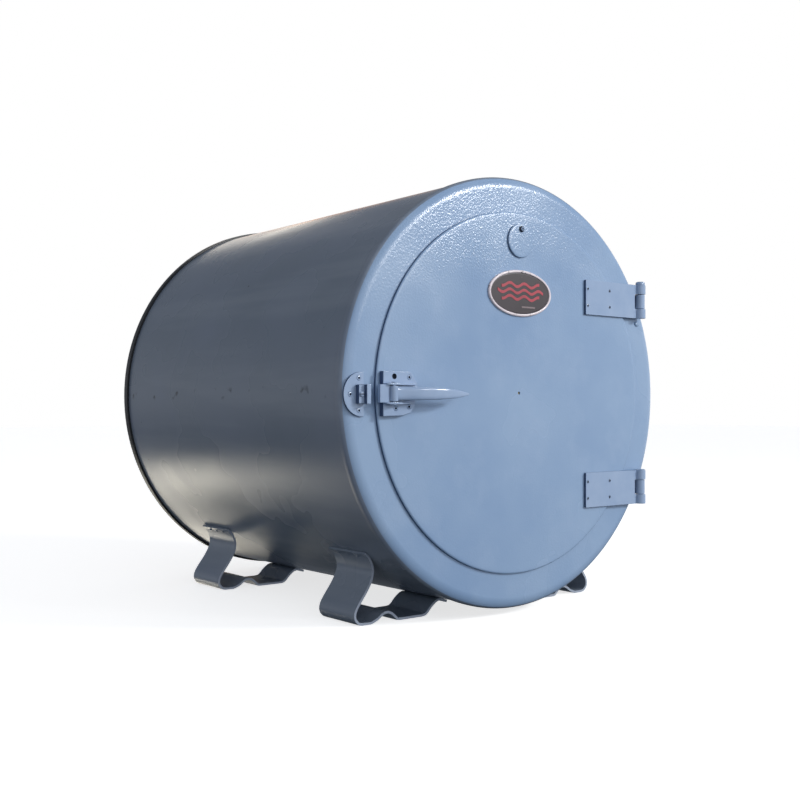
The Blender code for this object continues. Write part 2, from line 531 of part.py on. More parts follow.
def make_latch():
    z0, face = LATCH_HEIGHT, -DOOR_PROUD - GAP
    front, floor = -12 * MM, -7 * MM
    outline = [(-229, 26.3), (-188.5, 26.3), (-186.5, 25), (-178, 12.6), (-182, -14), (-188, -22.5),
               (-200, -25.6), (-229, -26.3)]
    base = on_door(plate("latch_base", "hardware_enamel", [(x * MM, z0 + z * MM) for x, z in outline],
                         front, face))
    for name, sign, end in (("upper_rib", 1, -181), ("lower_rib", -1, -190)):
        rib = [(-229, -9), (-229, -19.5), (-224, -21.6), (-213, -21.6), (-208, -19.5), (end - 4, -17), (end, -9)]
        low, high = sorted((sign * 10 * MM, sign * 12.3 * MM))
        join(base, loft(name, "hardware_enamel",
                        [[(x * MM, y * MM, z0 + z) for x, y in rib] for z in (low, high)]))
    join(base, box("bolt_cover", "hardware_enamel", (-238 * MM, -17.6 * MM, z0 - 10.6 * MM),
                   (-224 * MM, -12.4 * MM, z0 + 10.6 * MM)))
    cut(base, box("bolt_channel", "black_enamel", (-240 * MM, -12.3 * MM, z0 - CHANNEL_HALF),
                  (-190 * MM, floor, z0 + CHANNEL_HALF)),
        drill("pivot_bore", 2.5 * MM, "Z", (PIVOT_X, PIVOT_Y, z0), 40 * MM))

    on_door(revolve("latch_pivot_pin", "hardware_enamel", [
        (0, -13.9 * MM), (3.3 * MM, -13.9 * MM), (3.3 * MM, -12.6 * MM), (2.2 * MM, -12.6 * MM),
        (2.2 * MM, 12.6 * MM), (3.3 * MM, 12.6 * MM), (3.3 * MM, 13.9 * MM), (0, 13.9 * MM)],
        "Z", (PIVOT_X, PIVOT_Y, z0), 12))

    bolt = box("latch_bolt", "hardware_enamel", (-245 * MM, -11.7 * MM, z0 - 7.7 * MM),
               (-204 * MM, floor - GAP, z0 + 7.7 * MM))
    nose = [(-248.6, -9.2), (-248.6, -7.9), (-244, -7.3), (-244, -11.7), (-247, -11.2)]
    join(bolt, loft("bolt_nose", "hardware_enamel",
                    [[(x * MM, y * MM, z0 + z) for x, y in nose] for z in (-7.7 * MM, 7.7 * MM)]))
    cut(bolt, box("drive_window", "black_enamel", (-223.5 * MM, -20 * MM, z0 - 3.8 * MM),
                  (-209 * MM, 0, z0 + 3.8 * MM)))
    hub(bolt, "bolt_axis", (-230 * MM, -9.5 * MM, z0))

    turns, per_turn, coil, start, length = 5, 8, 1.7 * MM, -203.5 * MM, 13.1 * MM
    steps = turns * per_turn
    helix = [(start + length * i / steps, -9.5 * MM + coil * cos(2 * pi * i / per_turn),
              z0 + coil * sin(2 * pi * i / per_turn)) for i in range(steps + 1)]
    on_door(tube("latch_spring", "spring_steel", helix, 0.4 * MM))

    # The lever's sections: distance from the pivot, front and back Y, half height.
    sections = [(3, -21.8, -14.6, 8.0), (12, -24.0, -17.0, 8.2), (25, -28.0, -21.5, 8.0),
                (42, -32.0, -26.0, 7.7), (60, -34.3, -28.8, 7.1), (78, -34.0, -29.0, 6.3),
                (92, -31.5, -27.5, 5.5), (104, -28.2, -25.0, 4.7), (111, -27.2, -24.6, 3.4)]
    loops = []
    for along, y_front, y_back, half in sections:
        chamfer = 0.32 * (y_back - y_front)
        edge = 0.3 * half
        loops.append([(PIVOT_X + along * MM, y * MM, z0 + 0.3 * MM + z * MM) for y, z in (
            (y_back, -half), (y_front + chamfer, -half), (y_front, -half + edge), (y_front, half - edge),
            (y_front + chamfer, half), (y_back, half))])
    lever = loft("latch_handle", "hardware_enamel", loops)
    join(lever, revolve("lever_barrel", "hardware_enamel",
                        [(0, -8.3 * MM), (4.6 * MM, -8.3 * MM), (4.6 * MM, 8.3 * MM), (0, 8.3 * MM)],
                        "Z", (PIVOT_X, PIVOT_Y, z0), 16),
         box("drive_tab", "hardware_enamel", (PIVOT_X - 2 * MM, -16 * MM, z0 - 3.2 * MM),
             (PIVOT_X + 2 * MM, -9 * MM, z0 + 3.2 * MM)))
    cut(lever, drill("lever_bore", 2.5 * MM, "Z", (PIVOT_X, PIVOT_Y, z0), 40 * MM))
    hub(lever, "handle_axis", (PIVOT_X, PIVOT_Y, z0))


def make_strike():
    z0 = -3.8 * MM
    back, front = -0.35 * MM, -3.3 * MM
    straight, flat = -250.8 * MM, -253.6 * MM
    half = 25.8 * MM
    bow = [(flat + x, z0 + z) for x, z in arc((0, 0), half, 90, 270, 12)]
    plate("strike_plate", "hardware_enamel", [(straight, z0 + half), *bow, (straight, z0 - half)], front, back)
    step = front - GAP
    keeper = box("strike_keeper", "hardware_enamel", (-262.6 * MM, -10 * MM, z0 - 11 * MM),
                 (-254 * MM, step, z0 + 11 * MM))
    join(keeper, box("keeper_bar", "hardware_enamel", (-255.2 * MM, -15.5 * MM, z0 - 11.3 * MM),
                     (-249.2 * MM, step - 0.1 * MM, z0 + 11.3 * MM)))
    screw_x = -259 * MM
    cut(keeper, drill("keeper_hole", 2.1 * MM, "Y", (screw_x, 0, z0), 30 * MM, 8))
    revolve("keeper_screw", "hardware_enamel", [
        (0, step - GAP), (1.7 * MM, step - GAP), (1.7 * MM, -10.3 * MM), (3.3 * MM, -10.3 * MM),
        (3.3 * MM, -11.2 * MM), (2.2 * MM, -12 * MM), (0, -12.2 * MM)], centre=(screw_x, 0, z0), sides=12)


def main():
    for old in list(bpy.data.objects):
        bpy.data.objects.remove(old, do_unlink=True)
    make_drum()
    make_shelves()
    make_heater()
    make_controls()
    make_feet()
    make_door()
    make_nameplate()
    make_hinges()
    make_latch()
    make_strike()


main()
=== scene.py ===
from math import cos, pi, radians, sin, sqrt

import bmesh
import bpy
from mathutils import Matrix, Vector


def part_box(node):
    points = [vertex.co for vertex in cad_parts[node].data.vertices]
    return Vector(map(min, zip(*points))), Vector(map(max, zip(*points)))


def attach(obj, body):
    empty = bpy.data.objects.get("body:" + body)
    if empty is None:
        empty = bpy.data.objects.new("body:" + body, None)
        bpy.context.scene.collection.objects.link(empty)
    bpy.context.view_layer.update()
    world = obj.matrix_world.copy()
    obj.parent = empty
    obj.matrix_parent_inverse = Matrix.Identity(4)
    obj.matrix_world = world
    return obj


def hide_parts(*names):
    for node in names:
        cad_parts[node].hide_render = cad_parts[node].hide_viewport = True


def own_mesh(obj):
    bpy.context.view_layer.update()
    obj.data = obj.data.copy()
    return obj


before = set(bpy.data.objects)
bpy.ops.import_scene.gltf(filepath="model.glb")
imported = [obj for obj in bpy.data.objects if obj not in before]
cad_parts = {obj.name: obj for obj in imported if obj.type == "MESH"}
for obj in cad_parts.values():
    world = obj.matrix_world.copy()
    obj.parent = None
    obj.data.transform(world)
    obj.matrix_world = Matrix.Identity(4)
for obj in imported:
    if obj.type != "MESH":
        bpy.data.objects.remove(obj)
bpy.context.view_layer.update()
mm = 0.001

ringLow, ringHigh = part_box("front_ring")
faceY = ringLow.y                        # the ring's front face
axisZ = (ringLow.z + ringHigh.z) / 2     # the drum's axis above the ground
drumRadius = (ringHigh.x - ringLow.x) / 2 / mm


# places below are in millimetres: right, back from the ring's face, up from the drum's axis
def at(x, y, z):
    return Vector((x * mm, faceY + y * mm, axisZ + z * mm))


def spot(place):
    return (place.x / mm, (place.y - faceY) / mm, (place.z - axisZ) / mm)


# ways of working that every piece shares
def clear():
    if bpy.context.object and bpy.context.object.mode != "OBJECT":
        bpy.ops.object.mode_set(mode="OBJECT")
    bpy.ops.object.select_all(action="DESELECT")


def activate(piece):
    clear()
    piece.select_set(True)
    bpy.context.view_layer.objects.active = piece


def edit(piece):
    activate(piece)
    bpy.ops.object.mode_set(mode="EDIT")


def pick(piece, kind, test):             # selects faces, edges or verts by their place, in edit mode
    bpy.ops.mesh.select_mode(type={"faces": "FACE", "edges": "EDGE", "verts": "VERT"}[kind])
    bpy.ops.mesh.select_all(action="DESELECT")
    bm = bmesh.from_edit_mesh(piece.data)
    for part in getattr(bm, kind):
        part.select_set(bool(test(part)))
    bm.select_flush_mode()
    bmesh.update_edit_mesh(piece.data)


def drawWire(name, points):              # one point drawn out along a path, left in edit mode
    clear()
    bpy.ops.mesh.primitive_plane_add(size=mm, location=points[0])
    wire = bpy.context.object
    wire.name = wire.data.name = name
    bpy.ops.object.mode_set(mode="EDIT")
    bpy.ops.mesh.select_mode(type="VERT")
    bpy.ops.mesh.merge(type="CENTER")
    for here, there in zip(points, points[1:]):
        bpy.ops.mesh.extrude_vertices_move(TRANSFORM_OT_translate={"value": there - here})
    return wire


def tidyMesh():                          # closes seams and poles, then turns every face outwards
    bpy.ops.mesh.select_all(action="SELECT")
    bpy.ops.mesh.remove_doubles(threshold=0.00001)
    bpy.ops.mesh.normals_make_consistent(inside=False)
    bpy.ops.object.mode_set(mode="OBJECT")


# a lathe: (radius, distance) points spun round an axis
def turnPiece(name, profile, along="Y", centre=(0, 0), steps=96):
    u, v = centre
    places = {"Y": lambda r, d: at(u + r, d, v), "Z": lambda r, d: at(u + r, v, d), "X": lambda r, d: at(d, u + r, v)}
    points = [places[along](r, d) for r, d in profile]
    if profile[0][0] > 0 or profile[-1][0] > 0:
        points.append(points[0])
    piece = drawWire(name, points)
    bpy.ops.mesh.select_all(action="SELECT")
    axis = {"X": (1, 0, 0), "Y": (0, 1, 0), "Z": (0, 0, 1)}[along]
    bpy.ops.mesh.spin(steps=steps, angle=2 * pi, center=places[along](0, 0), axis=axis)
    tidyMesh()
    return piece


def drawSolid(name, points, shift):      # an outline filled, then drawn out into a solid
    piece = drawWire(name, points)
    bpy.ops.mesh.select_all(action="SELECT")
    bpy.ops.mesh.edge_face_add()
    bpy.ops.mesh.extrude_region_move(TRANSFORM_OT_translate={"value": Vector(shift) * mm})
    tidyMesh()
    return piece


def cutPlate(name, outline, front, back):      # sheet cut to an outline seen from the front
    return drawSolid(name, [at(x, front, z) for x, z in outline], (0, back - front, 0))


def cutProfile(name, outline, low, high):      # bar of a side-on outline, (x, y), between two heights
    return drawSolid(name, [at(x, y, low) for x, y in outline], (0, 0, high - low))


def ribbon(name, points, across, deep):        # a line drawn out into a strip, then given some depth
    piece = drawWire(name, points)
    bpy.ops.mesh.select_all(action="SELECT")
    bpy.ops.mesh.extrude_edges_move(TRANSFORM_OT_translate={"value": Vector(across) * mm})
    bpy.ops.mesh.select_all(action="SELECT")
    bpy.ops.mesh.extrude_region_move(TRANSFORM_OT_translate={"value": (0, deep * mm, 0)})
    tidyMesh()
    return piece


def block(name, low, high):
    clear()
    middle = [(a + b) / 2 for a, b in zip(low, high)]
    bpy.ops.mesh.primitive_cube_add(size=1, location=at(*middle))
    piece = bpy.context.object
    piece.name = piece.data.name = name
    piece.scale = [abs(b - a) * mm for a, b in zip(low, high)]
    bpy.ops.object.transform_apply(location=False, rotation=False, scale=True)
    return piece


def applyAll(piece):
    activate(piece)
    for modifier in list(piece.modifiers):
        bpy.ops.object.modifier_apply(modifier=modifier.name)


def roundEdges(piece, width, segments=2, angle=30):
    modifier = piece.modifiers.new("softEdges", "BEVEL")
    modifier.width, modifier.segments = width * mm, segments
    modifier.limit_method, modifier.angle_limit = "ANGLE", radians(angle)
    modifier.use_clamp_overlap = True
    applyAll(piece)
    return piece


def bevelPicked(piece, width, segments, test):
    edit(piece)
    pick(piece, "edges", test)
    bpy.ops.mesh.bevel(offset=width * mm, segments=segments, affect="EDGES")
    bpy.ops.object.mode_set(mode="OBJECT")


def fit(piece, other, operation):        # cuts another shape away, or welds it on, and uses it up
    modifier = piece.modifiers.new("fit", "BOOLEAN")
    modifier.operation, modifier.solver, modifier.object = operation, "EXACT", other
    applyAll(piece)
    bpy.data.objects.remove(other, do_unlink=True)
    return piece


def cutAway(piece, *others):
    for other in others:
        fit(piece, other, "DIFFERENCE")
    return piece


def weldOn(piece, *others):
    for other in others:
        fit(piece, other, "UNION")
    return piece


def drillBit(radius, along, centre, start, end, steps=24):
    return turnPiece("drillBit", [(0, start), (radius, start), (radius, end), (0, end)], along, centre, steps)


def copyTo(piece, name, shift):
    activate(piece)
    bpy.ops.object.duplicate(linked=False)
    made = bpy.context.object
    made.name = made.data.name = name
    made.location = made.location + Vector(shift) * mm
    return made


def joinAll(pieces):
    activate(pieces[0])
    for piece in pieces[1:]:
        piece.select_set(True)
    bpy.ops.object.join()
    return pieces[0]


def repeat(piece, shifts):               # one modelled shape copied to several places, as one piece
    return joinAll([piece] + [copyTo(piece, piece.name + "Copy", shift) for shift in shifts])


def finishPiece(piece, body, finish, slot, *nodes, angle=35):
    activate(piece)
    bpy.ops.object.transform_apply(location=True, rotation=True, scale=True)
    bpy.ops.object.shade_smooth_by_angle(angle=radians(angle))
    even = piece.modifiers.new("evenShading", "WEIGHTED_NORMAL")      # keeps flat faces flat beside soft edges
    even.keep_sharp = True
    applyAll(piece)
    piece.data.materials.clear()
    piece.data.materials.append(finishes[finish])
    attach(piece, body)
    if nodes:
        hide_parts(*nodes)
    return piece


def secondFinish(piece, finish, test):   # faces picked by their place take another finish
    piece.data.materials.append(finishes[finish])
    for part in piece.data.polygons:
        if test(*spot(part.center)):
            part.material_index = len(piece.data.materials) - 1
    return piece


def near(x, z, places, radius):
    return any((x - a) ** 2 + (z - b) ** 2 < radius ** 2 for a, b in places)


def arc(centre, radius, start, end, steps):
    angles = [radians(start + (end - start) * i / steps) for i in range(steps + 1)]
    return [(centre[0] + radius * cos(a), centre[1] + radius * sin(a)) for a in angles]


def smoothPath(points, steps):           # a flowing line through every point
    ends = [points[0] * 2 - points[1]] + points + [points[-1] * 2 - points[-2]]
    path = []
    for a, b, c, d in zip(ends, ends[1:], ends[2:], ends[3:]):
        for i in range(steps):
            t = i / steps
            path.append(0.5 * (2 * b + (c - a) * t + (2 * a - 5 * b + 4 * c - d) * t * t
                               + (3 * b - a - 3 * c + d) * t ** 3))
    return path + [points[-1]]


# materials
def colour(text):                        # sRGB hex to linear
    parts = [int(text[i:i + 2], 16) / 255 for i in (1, 3, 5)]
    return (*[c / 12.92 if c <= 0.04045 else ((c + 0.055) / 1.055) ** 2.4 for c in parts], 1)


def addNode(tree, kind, values=None, links=None, stops=None, **settings):
    made = tree.nodes.new(kind)
    for key, value in settings.items():
        setattr(made, key, value)
    for key, value in (values or {}).items():
        made.inputs[key].default_value = value
    for key, source in (links or {}).items():
        tree.links.new(source, made.inputs[key])
    for i, (place, value) in enumerate(stops or []):
        elements = made.color_ramp.elements
        stop = elements[i] if i < 2 else elements.new(place)
        stop.position, stop.color = place, value
    return made


def startFinish(name, **shaderValues):
    made = bpy.data.materials.new(name)
    made.use_nodes = True
    tree = made.node_tree
    shader = tree.nodes["Principled BSDF"]
    for key, value in shaderValues.items():
        shader.inputs[key.replace("_", " ")].default_value = value
    where = addNode(tree, "ShaderNodeTexCoord").outputs["Object"]
    return made, tree, shader, where


def grey(value):
    return (value, value, value, 1)


def noise(tree, where, sizeMm, detail, **more):      # cloudy noise, given by the size of its lumps
    values = {"Scale": 1000 / sizeMm, "Detail": detail, **more}
    return addNode(tree, "ShaderNodeTexNoise", values, {"Vector": where}).outputs["Fac"]


def cells(tree, where, sizeMm):
    values = {"Scale": 1000 / sizeMm, "Randomness": 1}
    return addNode(tree, "ShaderNodeTexVoronoi", values, {"Vector": where}).outputs


def stretch(tree, where, scale):
    return addNode(tree, "ShaderNodeMapping", {"Scale": scale}, {"Vector": where}).outputs["Vector"]


def remap(tree, source, span, to=(0, 1), **settings):
    values = {"From Min": span[0], "From Max": span[1], "To Min": to[0], "To Max": to[1]}
    return addNode(tree, "ShaderNodeMapRange", values, {"Value": source}, **settings).outputs["Result"]


def toneRamp(tree, source, *stops):
    return addNode(tree, "ShaderNodeValToRGB", links={"Fac": source}, stops=stops).outputs["Color"]


def combine(tree, operation, first, second):         # second is a number or another node's output
    number = isinstance(second, (int, float))
    links = {0: first} if number else {0: first, 1: second}
    return addNode(tree, "ShaderNodeMath", {1: second} if number else {}, links, operation=operation).outputs[0]


def blend(tree, share, under, over):                 # a plain colour laid over another by a share
    made = addNode(tree, "ShaderNodeMix", links={0: share, 6: under}, data_type="RGBA")
    made.inputs[7].default_value = over
    return made.outputs[2]


def relief(tree, height, depthMm, strength=1, **links):
    values = {"Strength": strength, "Distance": depthMm * mm}
    return addNode(tree, "ShaderNodeBump", values, {"Height": height, **links}).outputs["Normal"]


def plug(tree, shader, **sources):
    for key, source in sources.items():
        tree.links.new(source, shader.inputs[key.replace("_", " ")])


def sprayedEnamel(name, look):
    # air-dried enamel sprayed over steel: a glossy film whose orange peel breaks highlights into sparkle,
    # cloudy tone where the coats overlap, a few dark specks of dust, and pale streaks that are painted reflections of
    # the room
    made, tree, shader, where = startFinish(name, Roughness=look["roughness"], IOR=1.5)
    up = addNode(tree, "ShaderNodeSeparateXYZ", links={0: where}).outputs["Z"]
    cloud = noise(tree, where, look["cloudMm"], 3, Roughness=0.55)
    tone = toneRamp(tree, cloud, (0.32, colour(look["shade"])), (0.68, colour(look["base"])))
    streak = noise(tree, stretch(tree, where, look["streak"]), look["streakMm"], 4, Roughness=0.6)
    # pale streaks in the colour: a painted reflection of the room on the gloss
    reflectionStreakShare = toneRamp(tree, streak, (0.48, grey(0)), (0.8, grey(look["reflectionStreakShare"])))
    reflectionStreaked = blend(tree, reflectionStreakShare, tone, colour(look["pale"]))
    limit = remap(tree, noise(tree, where, 70, 2), (0.55, 0.8), (0, look["speckSize"]))
    speck = combine(tree, "LESS_THAN", cells(tree, where, look["speckMm"])["Distance"], limit)
    dusty = combine(tree, "MULTIPLY", speck, look["speckShare"])
    # dark rubs along the waist
    rub = remap(tree, noise(tree, where, 20, 2), (0.6, 0.68), (0, look["rubShare"]))
    offWaist = combine(tree, "ABSOLUTE", combine(tree, "ADD", up, -axisZ), 0)
    belt = remap(tree, offWaist, (3 * mm, 9 * mm), (1, 0))
    dirty = combine(tree, "MAXIMUM", dusty, combine(tree, "MULTIPLY", rub, belt))
    paint = blend(tree, dirty, reflectionStreaked, colour(look["dirt"]))
    sheen = remap(tree, cloud, (0.3, 0.7), (look["roughness"] - 0.05, look["roughness"] + 0.08))
    # orange peel, rougher where dry overspray settled near the top
    peel = noise(tree, where, look["peelMm"], 2, Roughness=0.5)
    patchy = remap(tree, noise(tree, where, 120, 2), (0.32, 0.68), (0.4, 1.4))
    overspray = remap(tree, up, (axisZ + 20 * mm, axisZ + 170 * mm), (look["peelCalm"], 1))
    film = combine(tree, "MULTIPLY", peel, combine(tree, "MULTIPLY", patchy, overspray))
    wave = relief(tree, streak, look["waveDepthMm"])
    plug(tree, shader, Base_Color=paint, Roughness=sheen, Normal=relief(tree, film, look["peelDepthMm"], Normal=wave))
    return made


def galvanisedSheet():
    # hot-dip galvanised steel: crystals of zinc up to a centimetre across, each a slightly different grey
    made, tree, shader, where = startFinish("galvanisedSheet", Metallic=1)
    spangle = cells(tree, where, 11)["Color"]
    tone = toneRamp(tree, spangle, (0.1, colour("#9FA3A6")), (0.9, colour("#C6CACC")))
    stained = remap(tree, noise(tree, where, 90, 5, Roughness=0.65), (0.5, 0.75), (0, 0.5))
    grain = noise(tree, where, 3, 3)
    plug(tree, shader, Base_Color=blend(tree, stained, tone, colour("#8E8578")),
         Roughness=remap(tree, spangle, (0, 1), (0.34, 0.52)), Normal=relief(tree, grain, 0.03, 0.6))
    return made


def fibreMat(name, pale, dark, strandMm, depthMm):
    # mineral wool or woven glass: matt tangled strands that throw no highlight
    made, tree, shader, where = startFinish(name, Roughness=0.95)
    warp = noise(tree, where, strandMm * 6, 4, Distortion=1.5)
    strand = noise(tree, where, strandMm, 6, Roughness=0.75, Distortion=2)
    both = combine(tree, "MULTIPLY", warp, strand)
    tone = toneRamp(tree, both, (0.12, colour(dark)), (0.42, colour(pale)))
    plug(tree, shader, Base_Color=tone, Normal=relief(tree, both, depthMm))
    return made


def glassTape():
    # woven glass tape: a plain weave about 2 mm to the thread, off-white and dull
    made, tree, shader, where = startFinish("wovenGlassTape", Roughness=0.85)
    threads = {"Scale": 1000 / 2 / 6.3, "Distortion": 0.6, "Detail": 1}
    waves = [addNode(tree, "ShaderNodeTexWave", threads, {"Vector": where}, bands_direction=direction).outputs["Fac"]
             for direction in ("X", "Z")]
    weave = combine(tree, "MULTIPLY", *waves)
    tone = toneRamp(tree, noise(tree, where, 45, 4), (0.35, colour("#D9D4C6")), (0.7, colour("#A89A80")))
    plug(tree, shader, Base_Color=tone, Normal=relief(tree, weave, 0.3))
    return made


def bareMetal(name, pale, dark, roughness, grainMm, grainStretch, depthMm):
    # bare or plated metal: a drawn or brushed grain with patches of tarnish that dull the shine
    made, tree, shader, where = startFinish(name, Metallic=1)
    grain = noise(tree, stretch(tree, where, grainStretch), grainMm, 4, Roughness=0.6)
    tarnish = noise(tree, where, grainMm * 12, 5, Roughness=0.6)
    tone = toneRamp(tree, tarnish, (0.35, colour(pale)), (0.72, colour(dark)))
    rough = remap(tree, tarnish, (0.3, 0.75), (roughness - 0.06, roughness + 0.16))
    plug(tree, shader, Base_Color=tone, Roughness=rough, Normal=relief(tree, grain, depthMm, 0.7))
    return made


def mouldedPlastic(name, base, worn, roughness, **shaderValues):
    # moulded phenolic or nylon: near-black, a fine stipple from the mould and paler rubbed patches
    made, tree, shader, where = startFinish(name, IOR=1.55, **shaderValues)
    rub = noise(tree, where, 14, 5, Roughness=0.7)
    tone = toneRamp(tree, rub, (0.45, colour(base)), (0.8, colour(worn)))
    rough = remap(tree, rub, (0.3, 0.7), (roughness - 0.05, roughness + 0.15))
    stipple = noise(tree, where, 0.9, 2)
    plug(tree, shader, Base_Color=tone, Roughness=rough, Normal=relief(tree, stipple, 0.03, 0.5))
    return made


def chippedPaint(name, base, chip, chipMm, chipLimit, roughness):
    # a badge's printed enamel: smooth and glossy, knocked down to dark metal in small ragged chips
    made, tree, shader, where = startFinish(name, IOR=1.5)
    ragged = noise(tree, where, chipMm, 5, Roughness=0.7)
    mask = toneRamp(tree, ragged, (chipLimit, grey(0)), (chipLimit + 0.02, grey(1)))
    tone = addNode(tree, "ShaderNodeMix", {6: colour(base), 7: colour(chip)}, {0: mask}, data_type="RGBA")
    level = remap(tree, noise(tree, where, 25, 3), (0.3, 0.7), (0.85, 1.1))
    faded = addNode(tree, "ShaderNodeHueSaturation", links={"Color": tone.outputs[2], "Value": level})
    rough = remap(tree, mask, (0, 1), (roughness, 0.6))
    plug(tree, shader, Base_Color=faded.outputs["Color"], Roughness=rough, Normal=relief(tree, ragged, 0.1, 0.6))
    return made


blueEnamel = {
    "base": "#93ACC9", "shade": "#86A1C2", "pale": "#ADBFD6", "dirt": "#3C4A5C", "roughness": 0.22,
    "cloudMm": 160, "streak": (1, 1, 1), "streakMm": 60, "reflectionStreakShare": 0.25, "waveDepthMm": 0.25, "rubShare": 0,
    "speckMm": 16, "speckSize": 0.06, "speckShare": 0.7, "peelMm": 2.6, "peelDepthMm": 0.34, "peelCalm": 0.35}
slateEnamel = {
    "base": "#7F8A9C", "shade": "#75818F", "pale": "#A6AEB8", "dirt": "#20262E", "roughness": 0.27,
    "cloudMm": 200, "streak": (1, 0.08, 1), "streakMm": 70, "reflectionStreakShare": 0.5, "waveDepthMm": 0.05, "rubShare": 0.75,
    "speckMm": 30, "speckSize": 0.10, "speckShare": 0.8, "peelMm": 4, "peelDepthMm": 0.04, "peelCalm": 0.6}
hardwareEnamel = {**blueEnamel, "base": "#9DB1CC", "shade": "#92A8C6", "roughness": 0.16, "cloudMm": 40,
                  "peelMm": 2.0, "peelDepthMm": 0.06, "streakMm": 25, "waveDepthMm": 0.12}
# painted shade: a dark navy enamel for side edges that turn away from the light
edgeShadeEnamel = {**hardwareEnamel, "base": "#3F5476", "shade": "#32456A", "pale": "#5C7396", "roughness": 0.4}
# near-black enamel for the rear cover: painted shade for the dark seen along the back rim
shadeBlackEnamel = {**slateEnamel, "rubShare": 0, "base": "#1B1D20", "shade": "#141618", "pale": "#2E3033",
               "dirt": "#4A4A48",
               "roughness": 0.4, "streak": (1, 1, 1), "waveDepthMm": 0.2}

finishes = {
    "blueEnamel": sprayedEnamel("sprayedBlueGreyEnamel", blueEnamel),
    "slateEnamel": sprayedEnamel("sprayedSlateEnamel", slateEnamel),
    "hardwareEnamel": sprayedEnamel("hardwareSprayedOver", hardwareEnamel),
    # paler slate: a painted highlight for the feet's front edges
    "slateEdgeHighlight": sprayedEnamel("slatePaintedEdgeHighlight",
                               {**slateEnamel, "base": "#B4BCC9", "shade": "#98A2B2", "roughness": 0.3, "rubShare": 0}),
    "edgeShadeEnamel": sprayedEnamel("paintedShadeOnEdges", edgeShadeEnamel),
    "shadeBlackEnamel": sprayedEnamel("blackEnamelPaintedShade", shadeBlackEnamel),
    "galvanised": galvanisedSheet(),
    "mineralWool": fibreMat("mineralWoolBlanket", "#C9B98A", "#8C7A4E", 4, 1.5),
    "glassTape": glassTape(),
    "glassSleeving": fibreMat("wovenGlassSleeving", "#CFC9B6", "#9F9880", 1.2, 0.3),
    "elementSheath": bareMetal("oxidisedStainlessSheath", "#5A534E", "#2E2927", 0.45, 2, (1, 1, 1), 0.05),
    "zincPlate": bareMetal("brightZincPlate", "#B5BBC2", "#8F9499", 0.32, 1.2, (1, 1, 1), 0.02),
    "springSteel": bareMetal("springSteelWire", "#9A9DA0", "#6E7072", 0.3, 1, (1, 1, 1), 0.01),
    "dialAluminium": bareMetal("brushedAluminium", "#C9CBCC", "#A9ABAC", 0.3, 0.6, (1, 1, 0.06), 0.02),
    "copperTube": bareMetal("drawnCopper", "#C07A55", "#7A4A34", 0.32, 1.5, (1, 1, 1), 0.02),
    "phenolic": mouldedPlastic("mouldedPhenolic", "#141414", "#2B2A29", 0.35),
    "amberLens": mouldedPlastic("amberLens", "#E0761C", "#C45A10", 0.15, Emission_Strength=0.0),
    "badgeRim": chippedPaint("badgePaleRim", "#E6DADC", "#3A2A2C", 9, 0.6, 0.25),
    "badgeFace": chippedPaint("badgeDarkEnamel", "#32262A", "#5A4A48", 7, 0.68, 0.38),
    "badgeRed": chippedPaint("badgeRedEnamel", "#B8414C", "#2A1E20", 5, 0.66, 0.3),
    "badgeGrey": chippedPaint("badgeGreyEnamel", "#8D7C7C", "#2A1E20", 5, 0.66, 0.3),
    "dialInk": chippedPaint("dialPrint", "#16181A", "#8A8C8E", 3, 0.7, 0.4),
    "whiteInk": chippedPaint("pointerPrint", "#E6E6E2", "#8A8C8E", 3, 0.7, 0.4),
    # painted shade for screw recesses, slots and holes
    "recessShade": mouldedPlastic("screwRecessShadow", "#1A2536", "#223048", 0.6),
}
print("finishes ready:", len(finishes))

# CAD pieces that stay as they are, with their real finish
kept = {
    "galvanised": ["liner_rear_panel", "shelf_rail_lower_left", "shelf_rail_lower_right", "shelf_rail_middle_left",
                   "shelf_rail_middle_right", "shelf_rail_upper_left", "shelf_rail_upper_right",
                   "element_support_front", "element_support_rear"],
    "mineralWool": ["shell_insulation", "rear_insulation", "door_insulation"],
    "phenolic": ["thermostat_body", "terminal_block"],
    "glassSleeving": ["heater_lead_left", "heater_lead_right"],
    "copperTube": ["thermostat_bulb"],
}
for finish, names in kept.items():
    for name in names:
        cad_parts[name].data.materials.clear()
        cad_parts[name].data.materials.append(finishes[finish])


# the drum: rolled shell, dished front ring and rear cover
drum = {"shellSides": 160, "rippleMm": 0.18, "rippleSizeMm": 260, "ringBendMm": (15, 9), "colourLineMm": 4.2,
        "coverScrews": 8, "screwRingMm": 262}

low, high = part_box("drum_shell")
clear()
bpy.ops.mesh.primitive_cylinder_add(vertices=drum["shellSides"], radius=(high.x - low.x) / 2, depth=high.y - low.y,
                                    end_fill_type="NOTHING", location=(low + high) / 2, rotation=(radians(90), 0, 0))
shell = bpy.context.object
shell.name = shell.data.name = "drumShell"
bpy.ops.object.transform_apply(location=False, rotation=True, scale=True)
edit(shell)
pick(shell, "edges", lambda e: abs(e.verts[0].co.y - e.verts[1].co.y) > 100 * mm)
bpy.ops.mesh.subdivide(number_cuts=30)
bpy.ops.object.mode_set(mode="OBJECT")
ripple = bpy.data.textures.new("rolledSheetRipple", "CLOUDS")
ripple.noise_scale = drum["rippleSizeMm"] * mm
sway = shell.modifiers.new("ripple", "DISPLACE")
sway.texture, sway.strength, sway.texture_coords = ripple, drum["rippleMm"] * mm, "LOCAL"
wall = shell.modifiers.new("wall", "SOLIDIFY")
wall.thickness, wall.offset = 1.5 * mm, -1
applyAll(shell)
finishPiece(shell, "oven_body", "slateEnamel", "slate_enamel", "drum_shell")

